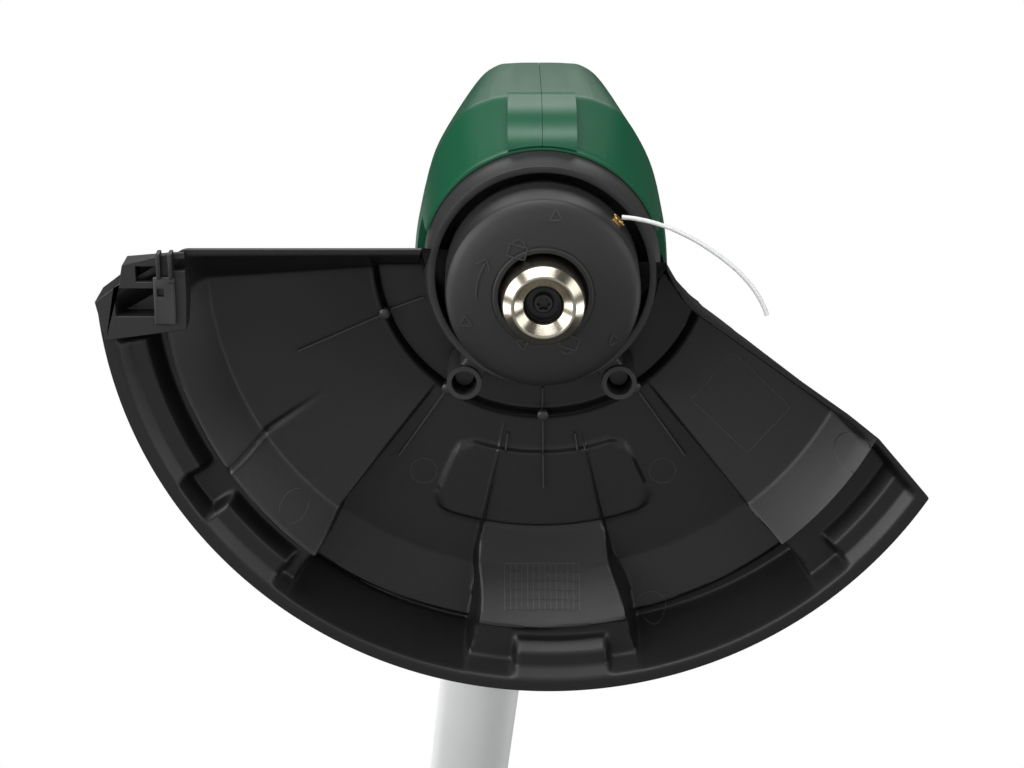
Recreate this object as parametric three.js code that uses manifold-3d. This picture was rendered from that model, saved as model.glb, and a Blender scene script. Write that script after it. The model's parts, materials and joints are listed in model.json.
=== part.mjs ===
// Cordless string trimmer: cutting head with guard, folding neck, telescopic shaft, handles, battery.
// Millimetres, +Z up. Everything is drawn about the spool axis first: the datum of the head is the
// centre of the spool cap's lower rim, X to the right, Y back towards the user. The finished group is
// then shifted so that its origin is the middle of the rear hand grip.
import * as THREE from 'three';
import { mergeVertices } from 'three/addons/utils/BufferGeometryUtils.js';
import Module from 'manifold-3d';

const wasm = await Module();
wasm.setup();

// ---- driving dimensions -------------------------------------------------------------------------
const GAP = 0.3;                 // play between neighbouring solids
const FLATNESS = 0.04;           // facets closer to flat than this are merged
const SHAFT_YAW = 6;             // degrees the shaft points off the head's centre line
const SHAFT_SLOPE = 18;          // degrees the shaft rises from the level head
const SHAFT_HEIGHT = 104;        // shaft axis above the cap rim where it crosses the spool axis
const HINGE_REACH = 78;          // tilt hinge behind the spool axis, measured level
const CAP_RADIUS = 34;
const CAP_DEPTH = 24;
const KNOB_RADIUS = 14.3;
const KNOB_DROP = 17;            // knob face below the cap rim
const KNOB_HOLE = 15.6;
const SHROUD_INNER = 38;
const SHROUD_LOW = 19.4;
const SHROUD_OUTER = 42.6;
const PLATE_Z = 46.2;            // underside of the guard plate beside the head
const GUARD_WALL = 2.6;
const GUARD_HOLE = 44;
const RIM_RADIUS = 161.2;
const RIM_SHIFT = 3.2;           // rim centre to the right of the spool axis
const RIM_Z = 16.4;
const BOSS_X = 28;
const BOSS_Y = 40.5;
const HOUSING_TOP = 142;
const LINE_RADIUS = 0.8;
const LINE_Z = 10;
const EYELET_ANGLE = -42;
const LOWER_TUBE_RADIUS = 18;
const UPPER_TUBE_RADIUS = 16;
const TUBE_WALL = 1.6;
const LOWER_TUBE_END = 430;      // stations along the shaft, measured from the tilt hinge
const UPPER_TUBE_START = 300;
const UPPER_TUBE_END = 835;
const AUX_STATION = 640;
const HANDLE_START = 790;
const GRIP_STATION = 940;
const GRIP_HEIGHT = 28;

const finishes = {
  green: { color: 0x0f4a30, roughness: 0.45, metalness: 0 },
  black: { color: 0x1b1b1c, roughness: 0.5, metalness: 0 },
  rubber: { color: 0x151515, roughness: 0.85, metalness: 0 },
  steel: { color: 0x9a958c, roughness: 0.25, metalness: 1 },
  zinc: { color: 0xa8a9a8, roughness: 0.4, metalness: 1 },
  brass: { color: 0xc79a45, roughness: 0.3, metalness: 1 },
  copper: { color: 0x9c5a34, roughness: 0.4, metalness: 1 },
  silver: { color: 0xbfc0c1, roughness: 0.4, metalness: 0.8 },
  nylon: { color: 0xe8e9e6, roughness: 0.3, metalness: 0 },
  cell: { color: 0x2f6f9a, roughness: 0.4, metalness: 0 },
};

// ---- small geometry helpers ---------------------------------------------------------------------
const radians = THREE.MathUtils.degToRad;

function solid(geometry) {
  const bare = geometry.clone();
  bare.deleteAttribute('normal');
  bare.deleteAttribute('uv');
  const merged = mergeVertices(bare, 1e-4);
  const vertProperties = new Float32Array(merged.attributes.position.array);
  const triVerts = new Uint32Array(merged.index.array);
  const made = new wasm.Manifold(new wasm.Mesh({ numProp: 3, vertProperties, triVerts }));
  if (made.volume() >= 0) return made;
  for (let i = 0; i < triVerts.length; i += 3) {
    [triVerts[i], triVerts[i + 1]] = [triVerts[i + 1], triVerts[i]];
  }
  return new wasm.Manifold(new wasm.Mesh({ numProp: 3, vertProperties, triVerts }));
}

function geometryOf(body) {
  const mesh = body.getMesh();
  const geometry = new THREE.BufferGeometry();
  geometry.setAttribute('position', new THREE.BufferAttribute(new Float32Array(mesh.vertProperties), 3));
  geometry.setIndex(new THREE.BufferAttribute(new Uint32Array(mesh.triVerts), 1));
  geometry.computeVertexNormals();
  return geometry;
}

function piece(group, name, finish, body) {
  const material = new THREE.MeshStandardMaterial(finishes[finish]);
  const mesh = new THREE.Mesh(geometryOf(body.simplify(FLATNESS)), material);
  mesh.name = name;
  group.add(mesh);
  return mesh;
}

// Turned part on the Z axis from [radius, z] pairs; the profile closes on itself or on the axis.
function turned(profile, segments = 32) {
  const closed = profile.every(([radius]) => radius > 0) ? [...profile, profile[0]] : profile;
  const points = closed.map(([radius, z]) => new THREE.Vector2(radius, z));
  return solid(new THREE.LatheGeometry(points, segments).rotateX(Math.PI / 2));
}

const rod = (radius, low, high, segments = 24) =>
  turned([[0, low], [radius, low], [radius, high], [0, high]], segments);
const sleeve = (outer, inner, low, high, segments = 32) =>
  turned([[inner, low], [outer, low], [outer, high], [inner, high]], segments);

function outlineShape(points) {
  return new THREE.Shape(points.map(([x, y]) => new THREE.Vector2(x, y)));
}

// Plate with a drawn outline in XY, from z = low to z = high.
function plate(points, low, high) {
  const flat = { depth: high - low, bevelEnabled: false, curveSegments: 8 };
  return solid(new THREE.ExtrudeGeometry(outlineShape(points), flat).translate(0, 0, low));
}

function block(x, y, z, centre = [0, 0, 0]) {
  return solid(new THREE.BoxGeometry(x, y, z).translate(...centre));
}

// Turns a solid about X, then Z (degrees), then moves it.
function place(body, { x = 0, y = 0, z = 0, turnX = 0, turnY = 0, turnZ = 0 }) {
  return body.rotate([turnX, turnY, turnZ]).translate([x, y, z]);
}

// Rod along Y instead of Z, and along X.
const alongY = (body) => place(body, { turnX: -90 });
const alongX = (body) => place(body, { turnY: 90 });

// Closed skin through rings of equal point counts, lowest first.
function loft(rings) {
  const count = rings[0].length;
  const positions = rings.flat(2);
  const index = [];
  for (let level = 0; level < rings.length - 1; level += 1) {
    for (let i = 0; i < count; i += 1) {
      const a = level * count + i;
      const b = level * count + ((i + 1) % count);
      index.push(a, b, b + count, a, b + count, a + count);
    }
  }
  for (let i = 1; i < count - 1; i += 1) {
    const top = (rings.length - 1) * count;
    index.push(0, i + 1, i, top, top + i, top + i + 1);
  }
  const geometry = new THREE.BufferGeometry();
  geometry.setAttribute('position', new THREE.Float32BufferAttribute(positions, 3));
  geometry.setIndex(index);
  return solid(geometry);
}

function pathTube(points, radius, sides, steps) {
  const route = new THREE.CatmullRomCurve3(points.map((p) => new THREE.Vector3(...p)));
  const ring = [];
  for (let i = 0; i < sides; i += 1) {
    const turn = (i / sides) * 2 * Math.PI;
    ring.push([radius * Math.cos(turn), radius * Math.sin(turn)]);
  }
  return solid(new THREE.ExtrudeGeometry(outlineShape(ring), { steps, extrudePath: route }));
}

// Compression spring on the Z axis.
function spring(radius, wire, low, high, turns) {
  const points = [];
  const perTurn = 8;
  for (let i = 0; i <= turns * perTurn; i += 1) {
    const turn = (i / perTurn) * 2 * Math.PI;
    const z = low + ((high - low) * i) / (turns * perTurn);
    points.push([radius * Math.cos(turn), radius * Math.sin(turn), z]);
  }
  return pathTube(points, wire, 5, turns * perTurn);
}

// Pan-head screw pointing up Z, its head's underside at z = 0.
function screw(headRadius, headHeight, shankRadius, length) {
  return turned([
    [0, -headHeight], [headRadius * 0.8, -headHeight], [headRadius, -headHeight * 0.5], [headRadius, 0],
    [shankRadius, 0], [shankRadius, length], [0, length],
  ], 12);
}

// ---- spool and drive ----------------------------------------------------------------------------
function buildSpool(group) {
  const eyelet = { turnZ: EYELET_ANGLE };
  const eyeletBore = place(alongX(rod(2.6, 30, 37.5, 12)).translate([0, 0, LINE_Z]), eyelet);
  const cap = turned([
    [KNOB_HOLE, -4], [26, -3.4], [31, -1.8], [33.2, -0.4], [CAP_RADIUS, 1.4], [34.5, CAP_DEPTH],
    [32.1, CAP_DEPTH], [31.7, 3.6], [29, 1.2], [KNOB_HOLE, -1.2],
  ], 40).subtract(eyeletBore);
  piece(group, 'spool_cap', 'black', cap);

  const bush = sleeve(2.3, 1.1, 31, 36.4, 12);
  piece(group, 'line_eyelet', 'brass', place(alongX(bush).translate([0, 0, LINE_Z]), eyelet));

  const hub = turned([
    [0, 1], [5.4, 1], [5.4, 24.5], [33.5, 24.5], [33.5, 28.5], [9, 28.5], [7.5, 40], [0, 40],
  ], 32);
  piece(group, 'drive_hub', 'black', hub);

  const tooth = (turn) => place(block(13, 2.2, 5, [13.5, 0, 0]), { turnZ: turn, z: 74 });
  const blades = Array.from({ length: 7 }, (_, i) => tooth((i * 360) / 7));
  const fan = blades.reduce((whole, blade) => whole.add(blade), sleeve(8.5, 4.2, 71.5, 76.5, 24));
  piece(group, 'cooling_fan', 'black', fan.translate([0, 0, -12]));

  piece(group, 'motor_shaft', 'zinc', rod(3.9, 40.3, 126, 16));
  piece(group, 'rotor_core', 'copper', sleeve(15, 4.2, 76, 104, 24));
}

function buildReel(group) {
  const reel = turned([
    [6.4, 4], [30, 4], [30, 5.6], [11, 5.6], [11, 16.6], [30, 16.6], [30, 18.2], [6.4, 18.2],
  ], 32);
  piece(group, 'line_reel', 'black', reel);
  piece(group, 'wound_line', 'nylon', sleeve(25, 11.3, 5.9, 16.3, 32));

  const knob = turned([
    [5.2, -11.2], [5.2, -13.6], [7.2, -15.4], [10.6, -KNOB_DROP], [12.6, -KNOB_DROP], [KNOB_RADIUS, -15.2],
    [KNOB_RADIUS, 3.7], [6.6, 3.7], [6.6, -8], [2.5, -8], [2.5, -11.2],
  ], 28);
  piece(group, 'bump_knob', 'steel', knob);
  piece(group, 'knob_screw', 'zinc', screw(4.7, 2.6, 2.1, 8).translate([0, 0, -11.5]));
  piece(group, 'bump_spring', 'zinc', spring(8.5, 0.5, 18.9, 23.9, 2.5));
}

function buildLine(group) {
  piece(group, 'cutting_line', 'nylon', pathTube(LINE_ROUTE, LINE_RADIUS, 8, 26));
}

// Free end of the line, from the eyelet outwards.
const LINE_ROUTE = [
  [27.3, -24.6, 10], [30.6, -24.3, 10], [34.0, -23.7, 10], [37.4, -22.9, 10], [40.7, -21.9, 10],
  [43.9, -20.8, 10], [47.6, -19.1, 10], [51.2, -17.3, 10], [54.7, -15.3, 10], [58.0, -13.1, 10],
  [61.2, -10.9, 9.9], [64.2, -8.6, 9.9], [67.2, -6.1, 9.8], [70.1, -3.2, 9.8], [72.8, -0.1, 9.7],
  [75.3, 3.4, 9.6], [77.3, 7.0, 9.6], [78.9, 10.9, 9.5],
];

// ---- motor and head shells ----------------------------------------------------------------------
function buildMotor(group) {
  piece(group, 'lower_bearing', 'steel', sleeve(11, 4.2, 50.5, 57, 24));
  piece(group, 'upper_bearing', 'steel', sleeve(8, 4.2, 114.8, 120, 24));
  const seat = turned([
    [11.3, 50.5], [30, 50.5], [30, 53], [13.5, 53], [13.5, 57.3], [11.3, 57.3],
  ], 32);
  piece(group, 'motor_plate', 'zinc', seat);
  const can = turned([
    [21, 68], [23.5, 68], [23.5, 114], [10.5, 114], [10.5, 122], [8.3, 122], [8.3, 110.5], [21, 110.5],
  ], 32);
  piece(group, 'motor_can', 'zinc', can);
}

function buildShroud(group) {
  const ring = turned([
    [SHROUD_INNER, SHROUD_LOW], [40.5, SHROUD_LOW], [SHROUD_OUTER, 33], [SHROUD_OUTER, PLATE_Z + 3],
    [10.5, PLATE_Z + 3], [10.5, 45], [39.4, 45], [39.4, 33],
  ], 40);
  let shroud = ring;
  for (const side of [-1, 1]) {
    const turn = (Math.atan2(BOSS_Y, side * BOSS_X) * 180) / Math.PI;
    const web = place(block(10, 9, PLATE_Z - GAP - 24, [44, 0, (PLATE_Z - GAP + 24) / 2]), { turnZ: turn });
    const boss = rod(6.2, 22, PLATE_Z - GAP, 20).translate([side * BOSS_X, BOSS_Y, 0]);
    const bore = rod(2.7, 20, PLATE_Z + 1, 16).translate([side * BOSS_X, BOSS_Y, 0]);
    const counterbore = rod(4.6, 20, 32, 16).translate([side * BOSS_X, BOSS_Y, 0]);
    shroud = shroud.add(web).add(boss).subtract(bore).subtract(counterbore);
  }
  const spoolSpace = turned([[0, 10], [SHROUD_INNER, 10], [39.4, 33], [39.4, 45], [0, 45]], 40);
  shroud = shroud.subtract(spoolSpace);
  shroud = shroud.subtract(rod(10.5, 44, 60, 24));
  piece(group, 'spool_shroud', 'black', shroud);
}

// Plan outline of the head at one height: blunt nose at y = front, straight flanks, round tail.
function headRing(z, half, front, back, inset = 0) {
  const ring = [];
  const steps = 36;
  const bulge = 2.35;
  for (let i = 0; i < steps; i += 1) {
    const turn = (i / steps) * 2 * Math.PI;
    const reach = Math.sin(turn) < 0 ? -front : back;
    const across = Math.sign(Math.cos(turn)) * Math.abs(Math.cos(turn)) ** (2 / bulge);
    const along = Math.sign(Math.sin(turn)) * Math.abs(Math.sin(turn)) ** (2 / bulge);
    ring.push([across * (half - inset), along * (reach - inset), z]);
  }
  return ring;
}

const HEAD_LEVELS = [
  [34, 43.4, -44.5, 56], [48, 45.6, -50, 66], [64, 47.4, -56, 76], [98, 47, -56.5, 84],
  [126, 43.5, -55.2, 84], [136, 37, -51, 80], [HOUSING_TOP, 24, -38, 66],
];

function buildHousing(group, hinge) {
  const wall = 2.8;
  const outer = loft(HEAD_LEVELS.map(([z, half, front, back]) => headRing(z, half, front, back)));
  const inner = loft(HEAD_LEVELS.map(([z, half, front, back], i) => {
    const level = i === HEAD_LEVELS.length - 1 ? z - wall : z;
    return headRing(i === 0 ? 30 : level, half, front, back, wall);
  }));
  let shell = outer.subtract(inner);
  // Fork cheeks that hold the tilt pin, with the slot between them for the neck.
  const cheeks = hinge.apply(block(60, 44, 40, [0, -6, 0]).intersect(alongX(rod(24, -29, 29, 32))));
  shell = shell.add(cheeks.subtract(rod(27, 20, 130, 32)));
  shell = shell.subtract(hinge.apply(alongX(rod(25.5, -13.4, 13.4, 32))));
  shell = shell.subtract(hinge.apply(block(26.8, 60, 37, [0, 30, 6])));
  shell = shell.subtract(hinge.apply(alongX(rod(4.3, -40, 40, 20))));
  // Room for the guard plate, the shroud and the motor plate under the floor.
  shell = shell.subtract(block(140, 160, 40, [0, 66.5, PLATE_Z + 3 + GAP - 20]));
  shell = shell.subtract(rod(SHROUD_OUTER + GAP, 20, PLATE_Z + 3 + GAP, 48));
  const nose = block(24.6, 10, 26, [0, -50.5, 50]);
  shell = shell.add(nose.subtract(turned([[0, 30], [47, 30], [47, 64], [0, 64]], 48)));
  for (const side of [-1, 1]) {
    const post = sleeve(5.4, 2.3, PLATE_Z + 3.3, 74, 16).translate([side * BOSS_X, BOSS_Y, 0]);
    shell = shell.add(post);
  }
  shell = shell.subtract(hinge.apply(alongX(rod(5.3, -40, -12, 20)).translate([0, -13, 0])));
  shell = shell.subtract(hinge.apply(alongX(rod(9.6, -50, -26.6, 24)).translate([0, -13, 0])));
  for (const [y, z] of HOUSING_SCREWS) {
    const post = alongX(rod(4.6, -46, 46, 12)).translate([0, y, z]);
    shell = shell.add(post.intersect(outer));
    shell = shell.subtract(alongX(rod(1.9, -12, 60, 12)).translate([0, y, z]));
    shell = shell.subtract(alongX(rod(3.9, 24, 60, 12)).translate([0, y, z]));
  }
  const leftHalf = block(100, 300, 300, [-50 - GAP / 2, 0, 80]);
  const rightHalf = block(100, 300, 300, [50 + GAP / 2, 0, 80]);
  const biggest = (body) => body.decompose().sort((a, b) => b.volume() - a.volume())[0];
  piece(group, 'head_housing_left', 'green', biggest(shell.intersect(leftHalf)));
  piece(group, 'head_housing_right', 'green', biggest(shell.intersect(rightHalf)));
  HOUSING_SCREWS.forEach(([y, z], i) => {
    const fastener = place(screw(3.4, 2.2, 1.6, 32), { turnY: -90 }).translate([24.3, y, z]);
    piece(group, `housing_screw_${i + 1}`, 'zinc', fastener);
  });
}

const HOUSING_SCREWS = [[-40, 100], [48, 80]];

// ---- guard --------------------------------------------------------------------------------------
// Underside of the guard as [radius, z]: a dished plate, then a ramp down to the rim. The deep
// sectors keep the plate's height nearly out to the rim, to let the clippings fall.
const SHALLOW = [[GUARD_HOLE, PLATE_Z], [62, PLATE_Z], [119.6, 33], [134.4, 17.5], [150, 16], [160, RIM_Z]];
const DEEP = [[GUARD_HOLE, PLATE_Z], [62, PLATE_Z], [124, 45.5], [144.6, 43], [150, 16], [160, RIM_Z]];
const DEEP_SECTORS = [[101.7, 128.5], [50.6, 77.3]];   // plan angles in degrees, from the right
const GUARD_SEGMENTS = 72;

function shellFrom(profile) {
  const upper = profile.map(([radius, z], i) => {
    const steep = i > 0 && i < 5 && Math.abs(profile[i][1] - profile[i + 1][1]) > 20;
    return [radius + (steep ? GUARD_WALL : 0), z + GUARD_WALL];
  }).reverse();
  return turned([...profile, [RIM_RADIUS + RIM_SHIFT + 4, RIM_Z], [RIM_RADIUS + RIM_SHIFT + 4, RIM_Z + 5],
    ...upper], GUARD_SEGMENTS);
}

function sector(from, to, low, high) {
  const points = [[0, 0]];
  const steps = 8;
  for (let i = 0; i <= steps; i += 1) {
    const turn = radians(from + ((to - from) * i) / steps);
    points.push([200 * Math.cos(turn), 200 * Math.sin(turn)]);
  }
  return plate(points, low, high);
}

// Plan outline of the guard, shrunk by an inset, from the left front corner round the back.
function guardOutline(inset) {
  const radius = RIM_RADIUS - inset;
  const points = [];
  const start = Math.PI + Math.asin((11 - inset) / radius);
  const end = radians(31.1) + inset / radius;
  const steps = 40;
  for (let i = 0; i <= steps; i += 1) {
    const turn = start + ((end - start) * i) / steps;
    points.push([RIM_SHIFT + radius * Math.cos(turn), radius * Math.sin(turn)]);
  }
  points.push([57 - inset * 0.64, 12.6 + inset * 0.77], [50 - inset, 4.5 + inset * 0.5], [45 - inset, -6]);
  points.push([45 - inset, -11 + inset]);
  return points;
}

function buildGuard(group) {
  const whole = plate(guardOutline(0), 0, 80);
  let shell = shellFrom(SHALLOW);
  const above = DEEP.map(([radius, z]) => [radius, z + GUARD_WALL]).reverse();
  const risers = turned([...SHALLOW, ...above], GUARD_SEGMENTS);
  for (const [from, to] of DEEP_SECTORS) {
    const wedge = sector(from - 0.5, to + 0.5, 0, 80);
    const walls = wedge.subtract(sector(from + 0.9, to - 0.9, -1, 81));
    shell = shell.subtract(sector(from, to, 0, 80));
    shell = shell.add(shellFrom(DEEP).intersect(wedge)).add(risers.intersect(walls));
  }
  shell = shell.intersect(whole);
  // Turned-down lip along both straight edges and around the rim.
  const lipBand = whole.subtract(plate(guardOutline(2.4), -1, 81));
  const overlap = GUARD_WALL / 2;
  const lipSpace = [[0, RIM_Z], [158, RIM_Z], ...SHALLOW.map(([r, z]) => [r, z + overlap]).reverse()];
  lipSpace.push([0, PLATE_Z + overlap]);
  shell = shell.add(lipBand.intersect(turned(lipSpace, GUARD_SEGMENTS)));
  shell = shell.subtract(rod(GUARD_HOLE + 0.2, 0, 90, 40));
  shell = shell.subtract(block(200, 30, 100, [60, -25, 40]));
  for (const side of [-1, 1]) {
    shell = shell.subtract(rod(2.7, 0, 90, 16).translate([side * BOSS_X, BOSS_Y, 0]));
  }
  // Block at the left end that carries the line cutter.
  const holderOutline = [[-158.4, 6], [-155, -4], [-150.5, -9], [-124, -9.8], [-124, 18], [-157.4, 18]];
  const holder = plate(holderOutline, 12, 32);
  const cavity = block(26, 12, 30, [-141, 8, 16]);
  shell = shell.add(holder.intersect(whole)).subtract(cavity);
  shell = shell.subtract(block(3.0, 17, 30, [-134, 8.6, 12]));
  shell = shell.subtract(alongX(rod(1.9, -150, -118, 12)).translate([0, 4, 24]));
  shell = shell.subtract(alongX(rod(3.9, -130.9, -118, 16)).translate([0, 4, 24]));
  const biggest = shell.decompose().sort((a, b) => b.volume() - a.volume())[0];
  piece(group, 'debris_guard', 'black', biggest);

  const hole = alongX(rod(2.2, -150, -118, 12)).translate([0, 4, 24]);
  const blade = block(2, 15.6, 22, [-134, 8.6, 15.5]).subtract(hole);
  piece(group, 'cutter_blade', 'steel', blade);
  const fastener = place(screw(3.4, 2, 1.6, 9), { turnY: -90 }).translate([-130.6, 4, 24]);
  piece(group, 'cutter_screw', 'zinc', fastener);
}

// ---- assembly of the head -----------------------------------------------------------------------
const object = new THREE.Group();
object.name = 'string_trimmer';
const head = new THREE.Group();
object.add(head);

const hingeHeight = SHAFT_HEIGHT + HINGE_REACH * Math.tan(radians(SHAFT_SLOPE));
const hingePoint = [
  -HINGE_REACH * Math.sin(radians(SHAFT_YAW)), HINGE_REACH * Math.cos(radians(SHAFT_YAW)), hingeHeight,
];
// The hinge frame: X along the tilt pin, Y along the shaft, origin on the pin.
const hinge = {
  apply: (body) => place(body, {
    turnX: SHAFT_SLOPE, turnZ: SHAFT_YAW, x: hingePoint[0], y: hingePoint[1], z: hingePoint[2],
  }),
};

buildSpool(head);
buildReel(head);
buildLine(head);
buildMotor(head);
buildShroud(head);
buildHousing(head, hinge);
buildGuard(head);
for (const [side, name] of [[-1, 'left'], [1, 'right']]) {
  const guardScrew = screw(4.2, 2.4, 2.1, 22).translate([side * BOSS_X, BOSS_Y, 31.7]);
  piece(head, `guard_screw_${name}`, 'zinc', guardScrew);
}

// ---- neck, shaft and clamp, drawn in the hinge frame (X along the pin, Y along the shaft) -------
const shaft = new THREE.Group();
shaft.rotation.order = 'ZXY';
shaft.rotation.set(radians(SHAFT_SLOPE), 0, radians(SHAFT_YAW));
shaft.position.set(...hingePoint);
object.add(shaft);

const alongShaft = (body, station) => alongY(body).translate([0, station, 0]);

function buildNeck(group) {
  const knuckle = alongX(rod(24, -12.9, 12.9, 32)).subtract(alongX(rod(4.3, -20, 20, 20)));
  const arm = block(25.8, 24, 30, [0, 22, 0]);
  const socket = alongShaft(sleeve(21.5, LOWER_TUBE_RADIUS + GAP, 34, 86, 32), 0);
  const floor = alongShaft(rod(21.5, 27, 34, 32), 0);
  const cableWay = alongShaft(rod(5, -30, 60, 16), 0);
  const neck = knuckle.add(arm).add(floor).add(socket).subtract(cableWay);
  piece(group, 'tilt_neck', 'black', neck.subtract(neckScrewHole));
  const neckScrew = place(screw(4, 2.2, 2, 6), { turnY: -90 }).translate([21.9, 60, 0]);
  piece(group, 'neck_screw', 'zinc', neckScrew);
}

// Grub screw that keeps the lower tube in its socket.
const neckScrewHole = alongX(rod(2.3, 10, 30, 12)).translate([0, 60, 0]);

function buildTubes(group) {
  const inner = LOWER_TUBE_RADIUS - TUBE_WALL;
  const lower = alongShaft(sleeve(LOWER_TUBE_RADIUS, inner, 34.4, LOWER_TUBE_END, 40), 0);
  piece(group, 'lower_tube', 'silver', lower.subtract(neckScrewHole));
  const bore = UPPER_TUBE_RADIUS - TUBE_WALL;
  const upper = sleeve(UPPER_TUBE_RADIUS, bore, UPPER_TUBE_START, UPPER_TUBE_END, 40);
  piece(group, 'upper_tube', 'silver', alongShaft(upper, 0));
}

function buildClamp(group) {
  const body = turned([
    [LOWER_TUBE_RADIUS + GAP, 392], [21, 392], [23.5, 398], [23.5, 432], [21, 436], [21, 458],
    [UPPER_TUBE_RADIUS + GAP, 458], [UPPER_TUBE_RADIUS + GAP, LOWER_TUBE_END + GAP],
    [LOWER_TUBE_RADIUS + GAP, LOWER_TUBE_END + GAP],
  ], 36);
  piece(group, 'clamp_body', 'black', alongShaft(body, 0));
  let nut = turned([
    [21.4, 436.6], [25.5, 437.5], [26.5, 442], [26.5, 462], [24, 472], [UPPER_TUBE_RADIUS + GAP, 472],
    [UPPER_TUBE_RADIUS + GAP, 458.4], [21.4, 458.4],
  ], 36);
  for (let i = 0; i < 8; i += 1) {
    const rib = place(block(3, 5, 18, [26.3, 0, 451]), { turnZ: i * 45 });
    nut = nut.add(rib);
  }
  piece(group, 'clamp_nut', 'black', alongShaft(nut, 0));
}

// Two stub pins through the fork's cheeks, which leave the middle of the neck free for the lead.
function buildTiltPins(group) {
  piece(group, 'tilt_pin_left', 'zinc', alongX(rod(4, -28, -6, 20)));
  piece(group, 'tilt_pin_right', 'zinc', alongX(rod(4, 6, 28, 20)));
}

// Push button in the left cheek; its pin stops just short of the neck, even when it is pushed home.
function buildTiltButton(group) {
  const pin = turned([
    [0, -17], [4, -17], [5, -18], [5, -30.5], [9, -30.5], [9, -34.5], [8, -35.5], [0, -35.5],
  ], 20);
  piece(group, 'tilt_button', 'rubber', alongX(pin).translate([0, -13, 0]));
}

// ---- front handle -------------------------------------------------------------------------------
function buildAuxHandle(group) {
  const band = alongShaft(sleeve(21, UPPER_TUBE_RADIUS + GAP, AUX_STATION - 18, AUX_STATION + 18, 32), 0);
  const ear = (side) => alongX(rod(10.5, side * 9 - 4, side * 9 + 4, 24)).translate([0, AUX_STATION, 31])
    .add(block(8, 21, 17, [side * 9, AUX_STATION, 22.5]));
  let saddle = band.add(ear(-1)).add(ear(1)).add(block(26, 30, 6, [0, AUX_STATION, 20]));
  saddle = saddle.subtract(alongShaft(rod(UPPER_TUBE_RADIUS + GAP, 560, 720, 32), 0));
  saddle = saddle.subtract(alongX(rod(3.4, -30, 30, 16)).translate([0, AUX_STATION, 31]));
  piece(group, 'aux_handle_saddle', 'black', saddle);
}

// Loop of the front handle: a closed ring leaning over the shaft, with a root lug between the ears.
function buildAuxLoop(group) {
  const lean = 0.36;
  const side = [[2, 56], [34, 60], [60, 79], [66, 106], [54, 136], [28, 149]];
  const front = [...side.map(([x, z]) => [-x, z]), ...side.reverse()];
  const ring = front.map(([x, z]) => [x, AUX_STATION - lean * (z - 31), z]);
  const loop = pathTube(ring, 11, 8, 30);
  const lug = alongX(rod(7.4, -4.7, 4.7, 20)).translate([0, AUX_STATION, 31])
    .add(block(9.4, 14, 24, [0, AUX_STATION - 4, 43]));
  const base = loop.add(lug).subtract(alongX(rod(3.4, -30, 30, 16)).translate([0, AUX_STATION, 31]));
  piece(group, 'aux_handle_loop', 'rubber', base);
}

const onAuxPivot = (body) => alongX(body).translate([0, AUX_STATION, 31]);

function buildAuxBolt(group) {
  const bolt = turned([[0, -18], [5.5, -18], [5.5, -13.4], [3.1, -13.4], [3.1, 20], [0, 20]], 12);
  const knob = turned([
    [0, 20.4], [3.4, 20.4], [3.4, 13.4], [8, 13.4], [15, 17], [15, 27], [12, 29], [0, 29],
  ], 24);
  piece(group, 'aux_handle_bolt', 'zinc', onAuxPivot(bolt));
  piece(group, 'aux_handle_knob', 'rubber', onAuxPivot(knob));
}

// ---- rear handle --------------------------------------------------------------------------------
// Side profile in the shaft plane as [station, height]; the hand goes through the opening.
const HANDLE_PROFILE = [
  [HANDLE_START, -23], [HANDLE_START, 23], [846, 25], [872, 37], [905, 43], [950, 44], [990, 40], [1030, 32],
  [1066, 20], [1084, 6], [1090, -20], [1090, -58], [976, -58], [930, -52], [880, -38], [846, -28],
];
const HAND_OPENING = [
  [880, 2], [896, 12], [930, 15], [975, 13], [1008, 4], [1018, -12], [1010, -28], [985, -33], [930, -28],
  [892, -18],
];

function roundOutline(points, radius) {
  const out = [];
  points.forEach((point, i) => {
    const before = new THREE.Vector2(...points[(i + points.length - 1) % points.length]);
    const after = new THREE.Vector2(...points[(i + 1) % points.length]);
    const corner = new THREE.Vector2(...point);
    const reach = Math.min(radius, corner.distanceTo(before) * 0.4, corner.distanceTo(after) * 0.4);
    const start = corner.clone().add(before.sub(corner).setLength(reach));
    const end = corner.clone().add(after.sub(corner).setLength(reach));
    const middle = corner.clone().multiplyScalar(0.5).add(start.clone().add(end).multiplyScalar(0.25));
    out.push([start.x, start.y], [middle.x, middle.y], [end.x, end.y]);
  });
  return out;
}

// Slab drawn in the shaft plane: profile points are [station, height], thickness runs along X.
function slab(points, half, bevel = 0) {
  const settings = {
    depth: 2 * (half - bevel), bevelEnabled: bevel > 0, bevelThickness: bevel, bevelSize: bevel,
    bevelOffset: -bevel, bevelSegments: 2, steps: 1,
  };
  const flat = new THREE.ExtrudeGeometry(outlineShape(points), settings).translate(0, 0, -(half - bevel));
  flat.applyMatrix4(new THREE.Matrix4().makeBasis(
    new THREE.Vector3(0, 1, 0), new THREE.Vector3(0, 0, 1), new THREE.Vector3(1, 0, 0)));
  return solid(flat);
}

function inflated(points, by) {
  const count = points.length;
  return points.map((point, i) => {
    const before = points[(i + count - 1) % count];
    const after = points[(i + 1) % count];
    const dx = after[0] - before[0];
    const dy = after[1] - before[1];
    const size = Math.hypot(dx, dy);
    return [point[0] + (dy / size) * by, point[1] - (dx / size) * by];
  });
}

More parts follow.
